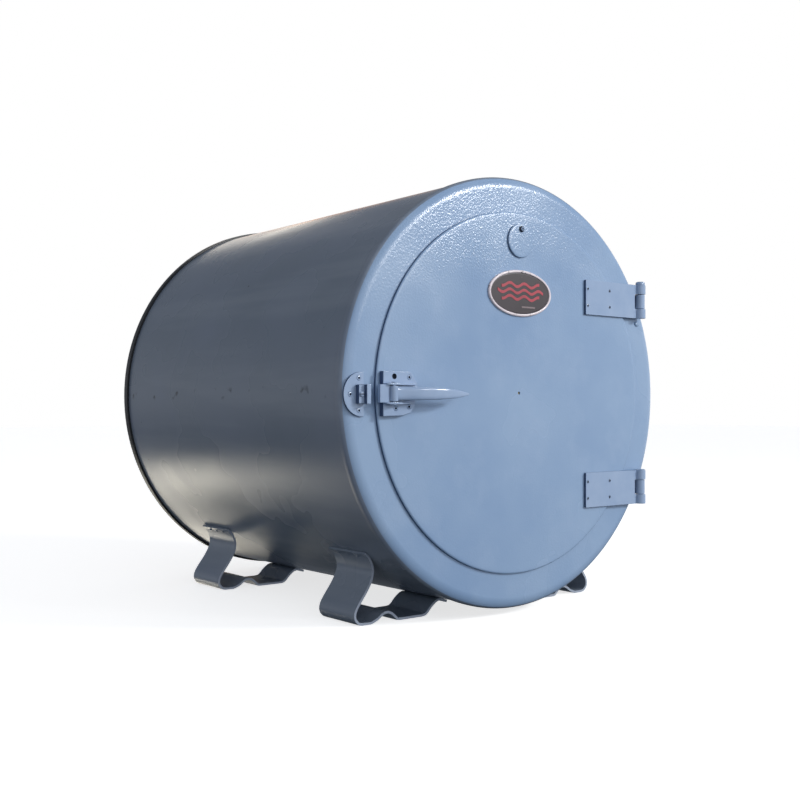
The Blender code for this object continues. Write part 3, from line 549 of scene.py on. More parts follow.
r, (bendWide, bendDeep) = drumRadius, drum["ringBendMm"]
outer = [(r - bendWide * (1 - x), bendDeep * (1 - y)) for x, y in arc((0, 0), 1, 90, 6, 12)]
inner = [(r - bendWide + (bendWide - 1.5) * x, bendDeep - (bendDeep - 1.5) * y) for x, y in arc((0, 0), 1, 6, 90, 10)]
lip = 218.5
ring = turnPiece("frontRing", [(lip, 16), (lip, 1.6), (lip + 0.5, 0.5), (lip + 1.6, 0), (lip + 4, 0), (r - 30, 0),
                               *outer, (r, bendDeep), (r, 14.4), (r - 0.4, 15),
                               (r - 1.5, 15), *inner, (lip + 1.5, 1.5), (lip + 1.5, 16)], steps=192)
finishPiece(ring, "oven_body", "blueEnamel", "blue_grey_enamel", "front_ring")
# the skirt and the back of the rounded corner, from colourLineMm behind the face, take the slate enamel
secondFinish(ring, "slateEnamel", lambda x, y, z: y > drum["colourLineMm"] and sqrt(x * x + z * z) > r - 4)

length = spot(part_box("rear_cover")[1])[1]
rim = (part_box("rear_cover")[1].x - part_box("rear_cover")[0].x) / 2 / mm
cover = turnPiece("rearCover", [(0, length), (196, length), (200, length - 0.9), (204, length - 0.9), (208, length),
                                (rim - 4, length),
                                (rim - 1.5, length - 0.1), (rim - 0.4, length - 0.6), (rim, length - 1.6),
                                (rim, length - 11.2),
                                (rim - 0.4, length - 12), (r - 1.5, length - 12), (r - 1.5, length - 1.6),
                                (0, length - 1.6)], steps=160)
cutAway(cover, block("wiringCut", (-60, length - 20, -130), (60, length + 20, -58)))
# the real rear cover's near-black colour is painted shade for its dark rim
finishPiece(cover, "oven_body", "shadeBlackEnamel", "black_enamel", "rear_cover")


def panHead(name, place, radius, height):   # a cross-head screw that faces the back
    x, y, z = place
    top = y + height
    head = turnPiece(name, [(0, y), (radius, y), (radius, y + height * 0.35), (radius * 0.86, y + height * 0.75),
                            (radius * 0.5, top), (0, top)], "Y", (x, z), 24)
    slotDeep, slotWide = height * 0.7, radius * 0.18
    for wide, tall in ((radius * 0.6, slotWide), (slotWide, radius * 0.6)):
        cutAway(head, block("slotCut", (x - wide, top - slotDeep, z - tall), (x + wide, top + 1, z + tall)))
    return head


angles = [radians(22.5 + 360 * i / drum["coverScrews"]) for i in range(drum["coverScrews"])]
places = [(drum["screwRingMm"] * cos(a), length + 0.05, drum["screwRingMm"] * sin(a)) for a in angles]
screws = panHead("coverScrews", places[0], 4, 2.2)
repeat(screws, [(p[0] - places[0][0], 0, p[2] - places[0][2]) for p in places[1:]])
finishPiece(screws, "oven_body", "zincPlate", "galvanised_sheet")
print("drum made")

# the four strap feet, bent from one outline
foot = {"sheetMm": 3.2, "weldMm": 3.0}
low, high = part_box("foot_front_right")
footFront, footBack, ground = spot(low)[1], spot(high)[1], spot(low)[2]
tab = drumRadius + 2.0


def onShell(degrees):
    return Vector((tab * sin(radians(degrees)), -tab * cos(radians(degrees))))


bends = [(184.5, -221.5), (187.5, -234), (195, -246.5), (204, -258.5), (211, -269.5), (211.8, -279.5),
         (205.5, ground + 1.6), (197, ground), (186, ground), (175, -284.5), (168, -279.8), (161, -277.6),
         (154, -279.8), (147, -285.6), (140, ground), (104, ground), (94.5, -285.4), (87, -278)]
outside = smoothPath([onShell(44.5), onShell(42.4)] + [Vector(b) for b in bends] + [onShell(15.6), onShell(12.7)], 3)
for point in outside:
    point.y = max(point.y, ground)
inside = []
for i, point in enumerate(outside):
    run = outside[min(i + 1, len(outside) - 1)] - outside[max(i - 1, 0)]
    inside.append(point + Vector((run.y, -run.x)).normalized() * foot["sheetMm"])
strap = cutPlate("footFrontRight", [tuple(p) for p in outside + inside[::-1]], footFront, footBack)
roundEdges(strap, 0.5, 2, 50)
beads = []
for degrees in (43.4, 13.4):             # plug welds that hold each tab to the shell
    for y in (18, 38, 58):
        x, z = (tab + 0.2) * sin(radians(degrees)), -(tab + 0.2) * cos(radians(degrees))
        clear()
        bpy.ops.mesh.primitive_uv_sphere_add(segments=14, ring_count=8, radius=foot["weldMm"] * mm * 0.6,
                                             location=at(x, footFront + y, z))
        bead = bpy.context.object
        bead.name = "plugWeld"
        edit(bead)
        bpy.ops.transform.resize(value=(1, 1, 0.5), center_override=at(x, footFront + y, z))
        bpy.ops.object.mode_set(mode="OBJECT")
        beads.append(bead)
joinAll([strap] + beads)
footGap = spot(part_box("foot_rear_right")[0])[1] - footFront
straps = {"foot_front_right": strap, "foot_rear_right": copyTo(strap, "footRearRight", (0, footGap, 0))}
for place, source in (("Front", "foot_front_right"), ("Rear", "foot_rear_right")):
    mirrored = copyTo(straps[source], f"foot{place}Left", (0, 0, 0))
    edit(mirrored)
    bpy.ops.mesh.select_all(action="SELECT")
    bpy.ops.transform.resize(value=(-1, 1, 1), center_override=(0, 0, 0))
    bpy.ops.mesh.normals_make_consistent(inside=False)
    bpy.ops.object.mode_set(mode="OBJECT")
    straps[f"foot_{place.lower()}_left"] = mirrored
for node, piece in straps.items():
    finishPiece(piece, "oven_body", "slateEnamel", "slate_enamel", node)
    ends = (footFront, footFront + footGap) if "front" not in node else (footFront,)
    # painted highlight: the straps' front and back edges take the paler slate
    secondFinish(piece, "slateEdgeHighlight", lambda x, y, z: any(abs(y - end) < 0.45 for end in ends) and z < -215)
print("feet made")

# the door: dished skin, insulated plug, gasket and vent
door = {"proudMm": 4.2, "radiusMm": 233.8, "sheetMm": 1.5, "ventHoleMm": 9, "middleHoleMm": 2}
face, dr = -door["proudMm"], door["radiusMm"]
skin = turnPiece("doorSkin", [(0, face), (dr - 8, face), (dr - 3, face), (dr - 1.5, face + 0.25),
                              (dr - 0.6, face + 0.8), (dr - 0.15, face + 1.6),
                              (dr, face + 2.6), (dr, -0.5), (dr - 1.5, -0.5), (dr - 1.5, face + 2.4),
                              (dr - 2.6, face + 1.5), (0, face + 1.5)], steps=192)
ventScrew = (0.5, 212.2)
cutAway(skin, drillBit(door["ventHoleMm"], "Y", (0, 195), face - 5, face + 5),
        drillBit(2.9, "Y", ventScrew, face - 5, face + 5),
        drillBit(door["middleHoleMm"], "Y", (-0.8, 0), face - 5, face + 5))
finishPiece(skin, "door", "blueEnamel", "blue_grey_enamel", "door_skin")
# painted shade on the door rim's side
secondFinish(skin, "edgeShadeEnamel", lambda x, y, z: y > face + 1.3 and sqrt(x * x + z * z) > dr - 0.4)

back = face + 1.8
frontWall, rearWall, depth = 215.2, 211.5, 50.5
pan = turnPiece("doorPlugPan", [(0, depth), (204, depth), (208.5, depth - 0.2), (210.6, depth - 1.2),
                                (rearWall, depth - 3), (frontWall, -1.2),
                                (219.5, -1.2), (219.5, back), (frontWall - 1.2, back), (rearWall - 1.2, depth - 3.6),
                                (207.8, depth - 1.2), (0, depth - 1.2)], steps=144)
cutAway(pan, drillBit(10.3, "Y", (0, 195), -10, 80))
finishPiece(pan, "door", "galvanised", "galvanised_sheet", "door_plug_pan")
finishPiece(turnPiece("ventTube", [(8.6, back), (9.8, back), (9.8, depth + 1), (8.6, depth + 1)], "Y", (0, 195), 48),
            "door", "galvanised", "galvanised_sheet", "vent_tube")
finishPiece(turnPiece("doorGasket", [(221, back), (230, back), (230, -1.2), (229.2, -0.4), (221.8, -0.4),
                                     (221, -1.2)], steps=128),
            "door", "glassTape", "glass_tape", "door_gasket")

vent = {"radiusMm": 22, "heightMm": 197}
vr, vf = vent["radiusMm"], face - 3
shutter = turnPiece("ventShutter", [(0, vf), (vr - 4, vf), (vr - 1.2, vf + 0.1), (vr - 0.4, vf + 0.5), (vr, vf + 1.2),
                                    (vr, face - 0.6), (vr - 0.3, face - 0.3), (0, face - 0.3)],
                    "Y", (0, vent["heightMm"]), 72)
cutAway(shutter, drillBit(2.9, "Y", ventScrew, vf - 5, face + 5))
finishPiece(shutter, "vent_shutter", "blueEnamel", "blue_grey_enamel", "vent_shutter")
# painted shade on the vent shutter's side
secondFinish(shutter, "edgeShadeEnamel", lambda x, y,
             z: vf + 0.9 < y < face - 0.35 and not near(x, z, [(0, vent["heightMm"])], vr - 0.6))
washer = vf - 0.3
pin = turnPiece("ventScrew", [(0, face + 1.5), (2.4, face + 1.5), (2.4, washer), (4, washer), (4, washer - 0.9),
                              (3.5, washer - 1.6), (2.4, washer - 2.3),
                              (1.3, washer - 2.6), (1.1, washer - 1.4), (0, washer - 1.4)], "Y", ventScrew, 32)
finishPiece(pin, "door", "hardwareEnamel", "hardware_enamel", "vent_screw")
# painted shade in the screw's recess and on the washer ring round it
secondFinish(pin, "recessShade", lambda x, y, z: not near(x, z, [ventScrew], 2.45) or (near(x, z, [ventScrew], 1.25)))
print("door made")

# oval badge, with plain heat waves in place of any wording
badge = {"heightMm": 129, "outerMm": (56.5, 30.2), "innerMm": (52.9, 26.6), "waves": 3, "waveLengthMm": 26,
         "waveTallMm": 3.6, "swingMm": 2.3}
plateZ, plateBack = badge["heightMm"], face - 0.3


# a circle shaped and drawn out through a row of (half width, half height, y) loops
def ovalPiece(name, loops, closed):
    clear()
    bpy.ops.mesh.primitive_circle_add(vertices=96, radius=1 * mm, location=at(0, loops[0][2], plateZ),
                                      rotation=(radians(90), 0, 0))
    piece = bpy.context.object
    piece.name = piece.data.name = name
    bpy.ops.object.transform_apply(location=False, rotation=True, scale=False)
    edit(piece)
    bpy.ops.mesh.select_all(action="SELECT")
    was = (1, 1, loops[0][2])
    for i, (wide, tall, y) in enumerate(loops):
        if i:
            bpy.ops.mesh.extrude_edges_move(TRANSFORM_OT_translate={"value": (0, (y - was[2]) * mm, 0)})
        bpy.ops.transform.resize(value=(wide / was[0], 1, tall / was[1]), center_override=at(0, y, plateZ))
        was = (wide, tall, y)
    if not closed:
        bpy.ops.mesh.edge_face_add()
        pick(piece, "edges", lambda e: e.is_boundary)
        bpy.ops.mesh.edge_face_add()
    tidyMesh()
    return piece


(ow, oh), (iw, ih) = badge["outerMm"], badge["innerMm"]
rimFront = plateBack - 2.7
loops = [(ow, oh, plateBack), (ow, oh, rimFront + 1.2), (ow - 0.5, oh - 0.5, rimFront + 0.4),
         (ow - 1.3, oh - 1.3, rimFront), (iw + 1, ih + 1, rimFront),
         (iw + 0.3, ih + 0.3, rimFront + 0.3), (iw, ih, rimFront + 0.9), (iw, ih, plateBack), (ow, oh, plateBack)]
finishPiece(ovalPiece("badgeRim", loops, True), "door", "badgeRim", "badge_rim", "nameplate_rim")
w, h = iw - 0.3, ih - 0.3
finishPiece(ovalPiece("badgeFace", [(w, h, plateBack), (w, h, plateBack - 1.4), (w - 1, h - 1, plateBack - 1.8)],
                      False),
            "door", "badgeFace", "badge_face", "nameplate_face")


waves = []
for i in range(badge["waves"]):
    half, height = 41 - 7 * abs(i - 1), 8.2 * (1 - i) + 0.5
    path = [(-half + half * k / 30, height + badge["swingMm"] * sin(2 * pi * (half * k / 30 - half) / badge["waveLengthMm"])) for k in range(61)]
    points = [at(x, plateBack - 1.75, plateZ + z) for x, z in path]
    waves.append(ribbon("heatWave", points, (0, 0, badge["waveTallMm"]), -0.45))
heatWaves = joinAll(waves)
heatWaves.name = heatWaves.data.name = "badgeHeatWaves"
finishPiece(heatWaves, "door", "badgeRed", "badge_face")
bar = ribbon("badgeBar", [at(x, plateBack - 1.75, plateZ - 18.5) for x in (2, 14, 26)], (0, 0, 2), -0.4)
finishPiece(bar, "door", "badgeGrey", "badge_face")
print("badge made")

# two butt hinges with their leaves screwed to the door
hinge = {"pinX": 238, "pinY": -8.4, "halfMm": 23.8, "barrelMm": 7.5, "middleMm": 10.3, "pinMm": 3.1,
         "heights": {"upper": 132.4, "lower": -131.6}, "screwX": (127.5, 172.5), "screwZ": 11.3}
hx, hy, half, mid = hinge["pinX"], hinge["pinY"], hinge["halfMm"], hinge["middleMm"]


def barrel(name, height, lowEnd, highEnd, slimmer=0):
    e, b = 0.5, hinge["barrelMm"] - slimmer
    return turnPiece(name, [(0, height + lowEnd), (b - e, height + lowEnd), (b, height + lowEnd + e),
                            (b, height + highEnd - e), (b - e, height + highEnd),
                            (0, height + highEnd)], "Z", (hx, hy), 40)


for level, height in hinge["heights"].items():
    title = level.capitalize()
    left, right = 123.8, 232
    leaf = cutPlate(f"hingeDoorLeaf{title}",
                    [(left, height - half), (right, height - half), (right, height + half), (left, height + half)],
                    -8, face - 0.3)
    bevelPicked(leaf, 1.4, 4, lambda e: abs(e.verts[0].co.y - e.verts[1].co.y) > mm and spot(e.verts[0].co)[0] < 130)
    roundEdges(leaf, 0.35, 2)
    weldOn(leaf, barrel("topKnuckle", height, mid, half), barrel("bottomKnuckle", height, -half, -mid))
    notch = cutPlate("notchCut", [(226.5, height - mid - 0.3), (260, height - mid - 0.3), (260, height + mid + 0.3),
                                  (226.5, height + mid + 0.3)], -22, 6)
    bevelPicked(notch, 2.5, 5, lambda e: abs(e.verts[0].co.y - e.verts[1].co.y) > mm and spot(e.verts[0].co)[0] < 227)
    cutAway(leaf, notch, drillBit(hinge["pinMm"] + 0.3, "Z", (hx, hy), height - 40, height + 40, 32))
    seats = [(x, height + z) for x in hinge["screwX"] for z in (-hinge["screwZ"], hinge["screwZ"])]
    for seat in seats:                   # countersunk for the screws
        cutAway(leaf, turnPiece("seatCut", [(0, -6.6), (1.3, -6.6), (2.3, -8.02), (2.3, -9), (0, -9)], "Y", seat, 20))
    cutAway(leaf, turnPiece("dimple", [(0, -7.8), (0.9, -8.1), (0.9, -9), (0, -9)], "Y", (149, height + 1), 12))
    finishPiece(leaf, "door", "hardwareEnamel", "hardware_enamel", f"hinge_door_leaf_{level}")
    # painted shade in the countersinks
    secondFinish(leaf, "recessShade", lambda x, y, z: y > -7.9 and near(x, z, seats, 3))
    # painted shade on the hinge leaf's sides
    secondFinish(leaf, "edgeShadeEnamel", lambda x, y, z: -7.6 < y < face - 0.35 and x < 228 and not near(x, z, seats, 4))

    screw = turnPiece(f"leafScrews{title}",
                      [(0, -6.9), (1.2, -6.85), (2.0, -7.9), (1.95, -8.15), (1.5, -8.25), (1.3, -7.2), (0, -7.2)],
                      "Y", seats[0], 20)
    repeat(screw, [(x - seats[0][0], 0, z - seats[0][1]) for x, z in seats[1:]])
    finishPiece(screw, "door", "hardwareEnamel", "hardware_enamel")
    # painted shade in the screw heads' recesses
    secondFinish(screw, "recessShade", lambda x, y, z: near(x, z, seats, 1.48))

    plate = block(f"hingeFrameLeaf{title}", (204, -3.6, height - 15), (230.5, -0.4, height + 15))
    roundEdges(plate, 0.4, 2)
    weldOn(plate, block("leafNeck", (228, -3.6, height - mid + 0.3), (hx, -0.4, height + mid - 0.3)),
           barrel("middleKnuckle", height, -mid + 0.3, mid - 0.3, 1.1))
    cutAway(plate, drillBit(hinge["pinMm"] + 0.3, "Z", (hx, hy), height - 40, height + 40, 32))
    finishPiece(plate, "oven_body", "hardwareEnamel", "hardware_enamel", f"hinge_frame_leaf_{level}")

    cap = 4.6 if level == "upper" else 1.2
    top, p = height + half + 0.3, hinge["pinMm"]
    pin = turnPiece(f"hingePin{title}", [(0, height - half), (p - 0.4, height - half), (p, height - half + 0.4),
                                         (p, top), (6.6, top), (6.6, top + cap * 0.5),
                                         (6.1, top + cap * 0.8), (4.5, top + cap), (0, top + cap)], "Z", (hx, hy), 32)
    finishPiece(pin, "oven_body", "hardwareEnamel", "hardware_enamel", f"hinge_pin_{level}")

clear()
weldPlace = at(240, -0.9, 101.5)
bpy.ops.mesh.primitive_uv_sphere_add(segments=24, ring_count=12, radius=5 * mm, location=weldPlace)
weld = bpy.context.object
weld.name = weld.data.name = "hingeWeldBead"
edit(weld)
bpy.ops.transform.resize(value=(0.9, 0.32, 0.7), center_override=weldPlace)
bpy.ops.object.mode_set(mode="OBJECT")
lumps = bpy.data.textures.new("weldLumps", "CLOUDS")
lumps.noise_scale = 4 * mm
rough = weld.modifiers.new("lumps", "DISPLACE")
rough.texture, rough.strength, rough.texture_coords = lumps, 0.4 * mm, "LOCAL"
applyAll(weld)
finishPiece(weld, "oven_body", "blueEnamel", "blue_grey_enamel")
print("hinges made")

# latch on the door, strike on the ring
latch = {"height": -3, "pivotX": -218.5, "pivotY": -18, "channelHalf": 8.1, "front": -12, "floor": -7}
z0, px, py, lf = latch["height"], latch["pivotX"], latch["pivotY"], latch["front"]
outline = [(-229, 26.3), (-188.5, 26.3), (-186.5, 25), (-178, 12.6), (-182, -14), (-188, -22.5), (-200, -25.6),
           (-229, -26.3)]
base = cutPlate("latchBase", [(x, z0 + z) for x, z in outline], lf, face - 0.3)
roundEdges(base, 0.8, 3)
for sign, end in ((1, -181), (-1, -190)):
    ribOutline = [(-229, -9), (-229, -19), (-226.5, -20.8), (-224, -21.6), (-213, -21.6), (-210, -20.8),
                  (-208, -19.5), (end - 4, -17), (end - 1, -14.5), (end, -9)]
    lowZ, highZ = sorted((sign * 10, sign * 12.3))
    rib = cutProfile("latchRib", ribOutline, z0 + lowZ, z0 + highZ)
    roundEdges(rib, 0.5, 2)
    weldOn(base, rib)
weldOn(base, roundEdges(block("boltCover", (-238, -17.6, z0 - 10.6), (-224, -12.4, z0 + 10.6)), 0.6, 2))
cutAway(base, block("channelCut", (-240, -12.3, z0 - latch["channelHalf"]),
                    (-190, latch["floor"], z0 + latch["channelHalf"])),
        drillBit(2.5, "Z", (px, py), z0 - 40, z0 + 40))
for x, z, size in ((-212.8, 17.3, 3.4), (-190.5, 16.6, 3.3), (-210.7, -20.1, 3.3), (-190.9, -18.2, 3.3)):
    cutAway(base, turnPiece("seatCut", [(0, -8.4), (1.6, -8.4), (size, lf + 0.6), (size, lf - 3), (0, lf - 3)], "Y",
                            (x, z), 24))
finishPiece(base, "door", "hardwareEnamel", "hardware_enamel", "latch_base")
# painted shade inside the empty screw hole
secondFinish(base, "recessShade", lambda x, y, z: y > lf + 0.2 and near(x, z, [(-212.8, 17.3)], 3.6))
# painted shade on the latch base's sides
secondFinish(base, "edgeShadeEnamel", lambda x, y,
             z: lf + 1 < y < face - 0.35 and (x < -228.5 or abs(z - z0) > 25.5 or x > -189 and abs(z - z0) < 9))

baseScrew = turnPiece("latchBaseScrews", [(0, -8.7), (1.4, -8.7), (2.9, lf + 0.7), (2.7, lf + 0.1), (1.5, lf - 0.3),
                                          (1.0, -10.4), (0, -10.4)], "Y", (-190.5, 16.6), 24)
repeat(baseScrew, [(-20.2, 0, -36.7), (-0.4, 0, -34.8)])
finishPiece(baseScrew, "door", "hardwareEnamel", "hardware_enamel")
# painted shade in the screw heads' recesses
secondFinish(baseScrew, "recessShade", lambda x, y,
             z: near(x, z, [(-190.5, 16.6), (-210.7, -20.1), (-190.9, -18.2)], 1.4))

pivot = turnPiece("latchPivotPin", [(0, z0 - 13.9), (2.4, z0 - 13.9), (3.3, z0 - 13.3), (3.3, z0 - 12.6),
                                    (2.2, z0 - 12.6), (2.2, z0 + 12.6), (3.3, z0 + 12.6),
                                    (3.3, z0 + 13.3), (2.4, z0 + 13.9), (0, z0 + 13.9)], "Z", (px, py), 24)
finishPiece(pivot, "door", "hardwareEnamel", "hardware_enamel", "latch_pivot_pin")

bolt = block("latchBolt", (-245, -11.7, z0 - 7.7), (-204, -7.3, z0 + 7.7))
nose = cutProfile("boltNose", [(-248.6, -9.2), (-248.6, -7.9), (-244, -7.3), (-244, -11.7), (-247, -11.2)], z0 - 7.7,
                  z0 + 7.7)
weldOn(bolt, nose)
roundEdges(bolt, 0.4, 2)
cutAway(bolt, block("windowCut", (-223.5, -20, z0 - 3.8), (-209, 0, z0 + 3.8)))
finishPiece(bolt, "latch_bolt", "hardwareEnamel", "hardware_enamel", "latch_bolt")


def squareRound(wide, tall, power, steps):     # a rounded oblong section
    made = []
    for i in range(steps):
        a = 2 * pi * i / steps
        c, s = cos(a), sin(a)
        made.append((wide * abs(c) ** (2 / power) * (1 if c >= 0 else -1),
                     tall * abs(s) ** (2 / power) * (1 if s >= 0 else -1)))
    return made


# the lever's sections: distance from the pivot, front and back, half height
sections = [(-1, -22.9, -14.8, 7.9), (2, -23.2, -15.0, 8.1), (8, -24.0, -16.4, 8.2), (14, -25.6, -18.0, 8.2),
            (25, -29.4, -21.5, 8.0), (42, -32.6, -25.6, 7.7),
            (60, -34.1, -28.4, 7.0), (78, -33.8, -29.2, 6.0), (88, -32.2, -28.4, 5.0), (96, -30.4, -27.4, 3.8),
            (102, -28.9, -26.4, 2.7), (108, -27.6, -25.6, 1.8), (111, -26.9, -25.4, 1.2)]
along, front, rear, tall = sections[0]
leverZ = z0 + 0.3
points = [at(px + along, (front + rear) / 2 + y, leverZ + z) for y, z in squareRound((rear - front) / 2, tall, 3.2, 24)]
lever = drawWire("latchHandle", points)
bpy.ops.mesh.select_all(action="SELECT")
bpy.ops.mesh.edge_face_add()
for was, now in zip(sections, sections[1:]):
    shift = (now[0] - was[0], (now[1] + now[2] - was[1] - was[2]) / 2, 0)
    bpy.ops.mesh.extrude_region_move(TRANSFORM_OT_translate={"value": Vector(shift) * mm})
    centre = at(px + now[0], (now[1] + now[2]) / 2, leverZ)
    bpy.ops.transform.resize(value=(1, (now[2] - now[1]) / (was[2] - was[1]), now[3] / was[3]), center_override=centre)
tidyMesh()
soft = lever.modifiers.new("soft", "SUBSURF")
soft.levels = soft.render_levels = 1
applyAll(lever)
weldOn(lever, turnPiece("leverBarrel", [(0, z0 - 8.6), (5, z0 - 8.6), (5.2, z0 - 8.3), (5.2, z0 + 8.3), (5, z0 + 8.6),
                                        (0, z0 + 8.6)], "Z", (px, py), 48),
       block("driveTab", (px - 2, -16, z0 - 3.2), (px + 2, -9, z0 + 3.2)))
cutAway(lever, drillBit(2.5, "Z", (px, py), z0 - 40, z0 + 40))
finishPiece(lever, "latch_handle", "hardwareEnamel", "hardware_enamel", "latch_handle", angle=40)

spring = {"turns": 5, "coilMm": 1.7, "wireMm": 0.4}
startX, endX = spot(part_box("latch_spring")[0])[0] + spring["wireMm"], spot(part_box("latch_spring")[1])[0] - spring["wireMm"]
count = spring["turns"] * 20
coil = [at(startX + (endX - startX) * i / count, -9.5 + spring["coilMm"] * cos(2 * pi * i / 20),
           z0 + spring["coilMm"] * sin(2 * pi * i / 20)) for i in range(count + 1)]
wire = drawWire("latchSpring", coil)
bpy.ops.object.mode_set(mode="OBJECT")
wire.modifiers.new("wire", "SKIN")
for vertex in wire.data.skin_vertices[0].data:
    vertex.radius = (spring["wireMm"] * mm, spring["wireMm"] * mm)
soft = wire.modifiers.new("soft", "SUBSURF")
soft.levels = soft.render_levels = 1
applyAll(wire)
finishPiece(wire, "door", "springSteel", "spring_steel", "latch_spring")
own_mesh(wire)

strike = {"middle": -3.8, "half": 25.8, "straight": -250.8, "flat": -253.6}
zs = strike["middle"]
bow = [(strike["flat"] + x, zs + z) for x, z in arc((0, 0), strike["half"], 90, 270, 32)]
strikePlate = cutPlate("strikePlate", [(strike["straight"], zs + strike["half"]), *bow,
                                       (strike["straight"], zs - strike["half"])], -3.3, -0.35)
roundEdges(strikePlate, 0.6, 3, 50)
holes = [(-258, 14.9), (-270.4, -3.9), (-258, -22.7)]
for x, z in holes:
    cutAway(strikePlate, turnPiece("seatCut", [(0, -1.0), (1.5, -1.0), (3.2, -3.2), (3.2, -6), (0, -6)], "Y", (x, z),
                                   24))
finishPiece(strikePlate, "oven_body", "hardwareEnamel", "hardware_enamel", "strike_plate")
strikeScrews = turnPiece("strikeScrews", [(0, -1.3), (1.4, -1.3), (2.9, -3.15), (2.7, -3.6), (1.4, -3.9), (0.9, -2.4),
                                          (0, -2.4)], "Y", holes[0], 24)
repeat(strikeScrews, [(x - holes[0][0], 0, z - holes[0][1]) for x, z in holes[1:]])
finishPiece(strikeScrews, "oven_body", "hardwareEnamel", "hardware_enamel")
# painted shade on the strike plate's side
secondFinish(strikePlate, "edgeShadeEnamel", lambda x, y,
             z: -2.6 < y < -0.4 and not near(x, z, [(strike["flat"], zs)], strike["half"] - 0.4))
# painted shade in the screw heads' recesses
secondFinish(strikeScrews, "recessShade", lambda x, y, z: near(x, z, holes, 1.4))

keeper = roundEdges(block("strikeKeeper", (-262.6, -10, zs - 11), (-254, -3.6, zs + 11)), 0.6, 2)
weldOn(keeper, roundEdges(block("keeperBar", (-255.2, -15.5, zs - 11.3), (-249.2, -3.7, zs + 11.3)), 0.7, 3))
cutAway(keeper, drillBit(2.1, "Y", (-259, zs), -20, 5))
finishPiece(keeper, "oven_body", "hardwareEnamel", "hardware_enamel", "strike_keeper")
# painted shade on the keeper's left and lower sides
secondFinish(keeper, "edgeShadeEnamel", lambda x, y,
             z: x < -262.4 or x < -255.4 and abs(z - zs) > 10.6 or x < -255.1 and y < -10.4)
keeperScrew = turnPiece("keeperScrew", [(0, -3.9), (1.7, -3.9), (1.7, -10.3), (3.3, -10.3), (3.3, -11), (2.9, -11.6),
                                        (2.0, -12.1), (0, -12.2)], "Y", (-259, zs), 32)
cutAway(keeperScrew, block("slotCut", (-263, -14, zs - 0.5), (-255, -11.2, zs + 0.5)))
finishPiece(keeperScrew, "oven_body", "hardwareEnamel", "hardware_enamel", "keeper_screw")
# painted shade in the screw's slot
secondFinish(keeperScrew, "recessShade", lambda x, y, z: abs(z - zs) < 0.55 and y > -12 and y < -11)
print("latch made")

# inside the chamber: liner, shelves and the sheathed element
chamber = {"linerMm": 216.8, "endMm": 511, "rodSlots": 5}
c = chamber["linerMm"]
liner = turnPiece("chamberLiner", [(c, 3), (c + 1.2, 3), (c + 1.2, chamber["endMm"]), (c, chamber["endMm"])], steps=144)
finishPiece(liner, "oven_body", "galvanised", "galvanised_sheet", "chamber_liner")

for level in ("lower", "middle", "upper"):
    low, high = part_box(f"rod_shelf_{level}")
    (x0, y0, zLow), (x1, y1, zHigh) = spot(low), spot(high)
    tray = cutProfile(f"rodShelf{level.capitalize()}", [(x0, y0), (x1, y0), (x1, y1), (x0, y1)], zLow, zLow + 1.2)
    for left, right in ((x0, x0 + 1.2), (x1 - 1.2, x1)):
        weldOn(tray, block("trayFlange", (left, y0, zLow + 0.6), (right, y1, zHigh)))
    for k in range(chamber["rodSlots"]):  # long slots that let the heat rise between the rods
        x = x0 + (x1 - x0) * (k + 1) / (chamber["rodSlots"] + 1)
        for yMid in ((y0 * 3 + y1) / 4, (y0 + y1 * 3) / 4):
            slotCut = block("slotCut", (x - 4, yMid - 75, zLow - 5), (x + 4, yMid + 75, zLow + 5))
            bevelPicked(slotCut, 3.9, 6, lambda e: abs(e.verts[0].co.z - e.verts[1].co.z) > mm)
            cutAway(tray, slotCut)
    finishPiece(tray, "oven_body", "galvanised", "galvanised_sheet", f"rod_shelf_{level}")

outerRun, innerRun, elementZ = 90, 30, -165
bendR = (outerRun - innerRun) / 2
uBend = [(x - (outerRun + innerRun) / 2, 130 - y) for x, y in arc((0, 0), bendR, 180, 0, 12)]
middleBend = [(x, 450 + y) for x, y in arc((0, 0), innerRun, 180, 0, 12)]
path = [(-outerRun, 572), (-outerRun, 300), *uBend, *middleBend, *[(x + outerRun + innerRun, y) for x, y in uBend],
        (outerRun, 300), (outerRun, 572)]
clear()
bpy.ops.curve.primitive_bezier_curve_add()
tube = bpy.context.object
tube.name = tube.data.name = "heatingElement"
tube.data.splines.clear()
line = tube.data.splines.new("POLY")
line.points.add(len(path) - 1)
for point, (x, y) in zip(line.points, path):
    point.co = (*at(x, y, elementZ), 1)
tube.location = (0, 0, 0)
tube.data.bevel_depth, tube.data.bevel_resolution, tube.data.use_fill_caps = 4 * mm, 6, True
activate(tube)
bpy.ops.object.convert(target="MESH")
finishPiece(bpy.context.object, "oven_body", "elementSheath", "element_sheath", "heating_element")
print("chamber made")

# controls at the back
panel = {"low": -150, "high": -40, "half": 80, "back": 630, "flange": 12, "dialMm": 31, "knobMm": 16.5, "lampX": 52,
         "glandX": -50, "height": -95,
         "numbers": ("50", "100", "150", "200", "250", "300")}
start, back, knobZ = length + 0.3, panel["back"], panel["height"]
box = block("controlBox", (-panel["half"], start, panel["low"]), (panel["half"], back, panel["high"]))
bevelPicked(box, 4, 5, lambda e: spot((e.verts[0].co + e.verts[1].co) / 2 + box.location)[1] > start + 5)
hollow = block("boxHollow", (-panel["half"] + 1.2, start - 10, panel["low"] + 1.2),
               (panel["half"] - 1.2, back - 1.2, panel["high"] - 1.2))
cutAway(box, hollow)
edge = panel["flange"]
flange = cutPlate("boxFlange", [(-panel["half"] - edge, panel["low"] - edge),
                                (panel["half"] + edge, panel["low"] - edge),
                                (panel["half"] + edge, panel["high"] + edge),
                                (-panel["half"] - edge, panel["high"] + edge)], start, start + 1.2)
bevelPicked(flange, 9, 6, lambda e: abs(e.verts[0].co.y - e.verts[1].co.y) > 0.5 * mm)
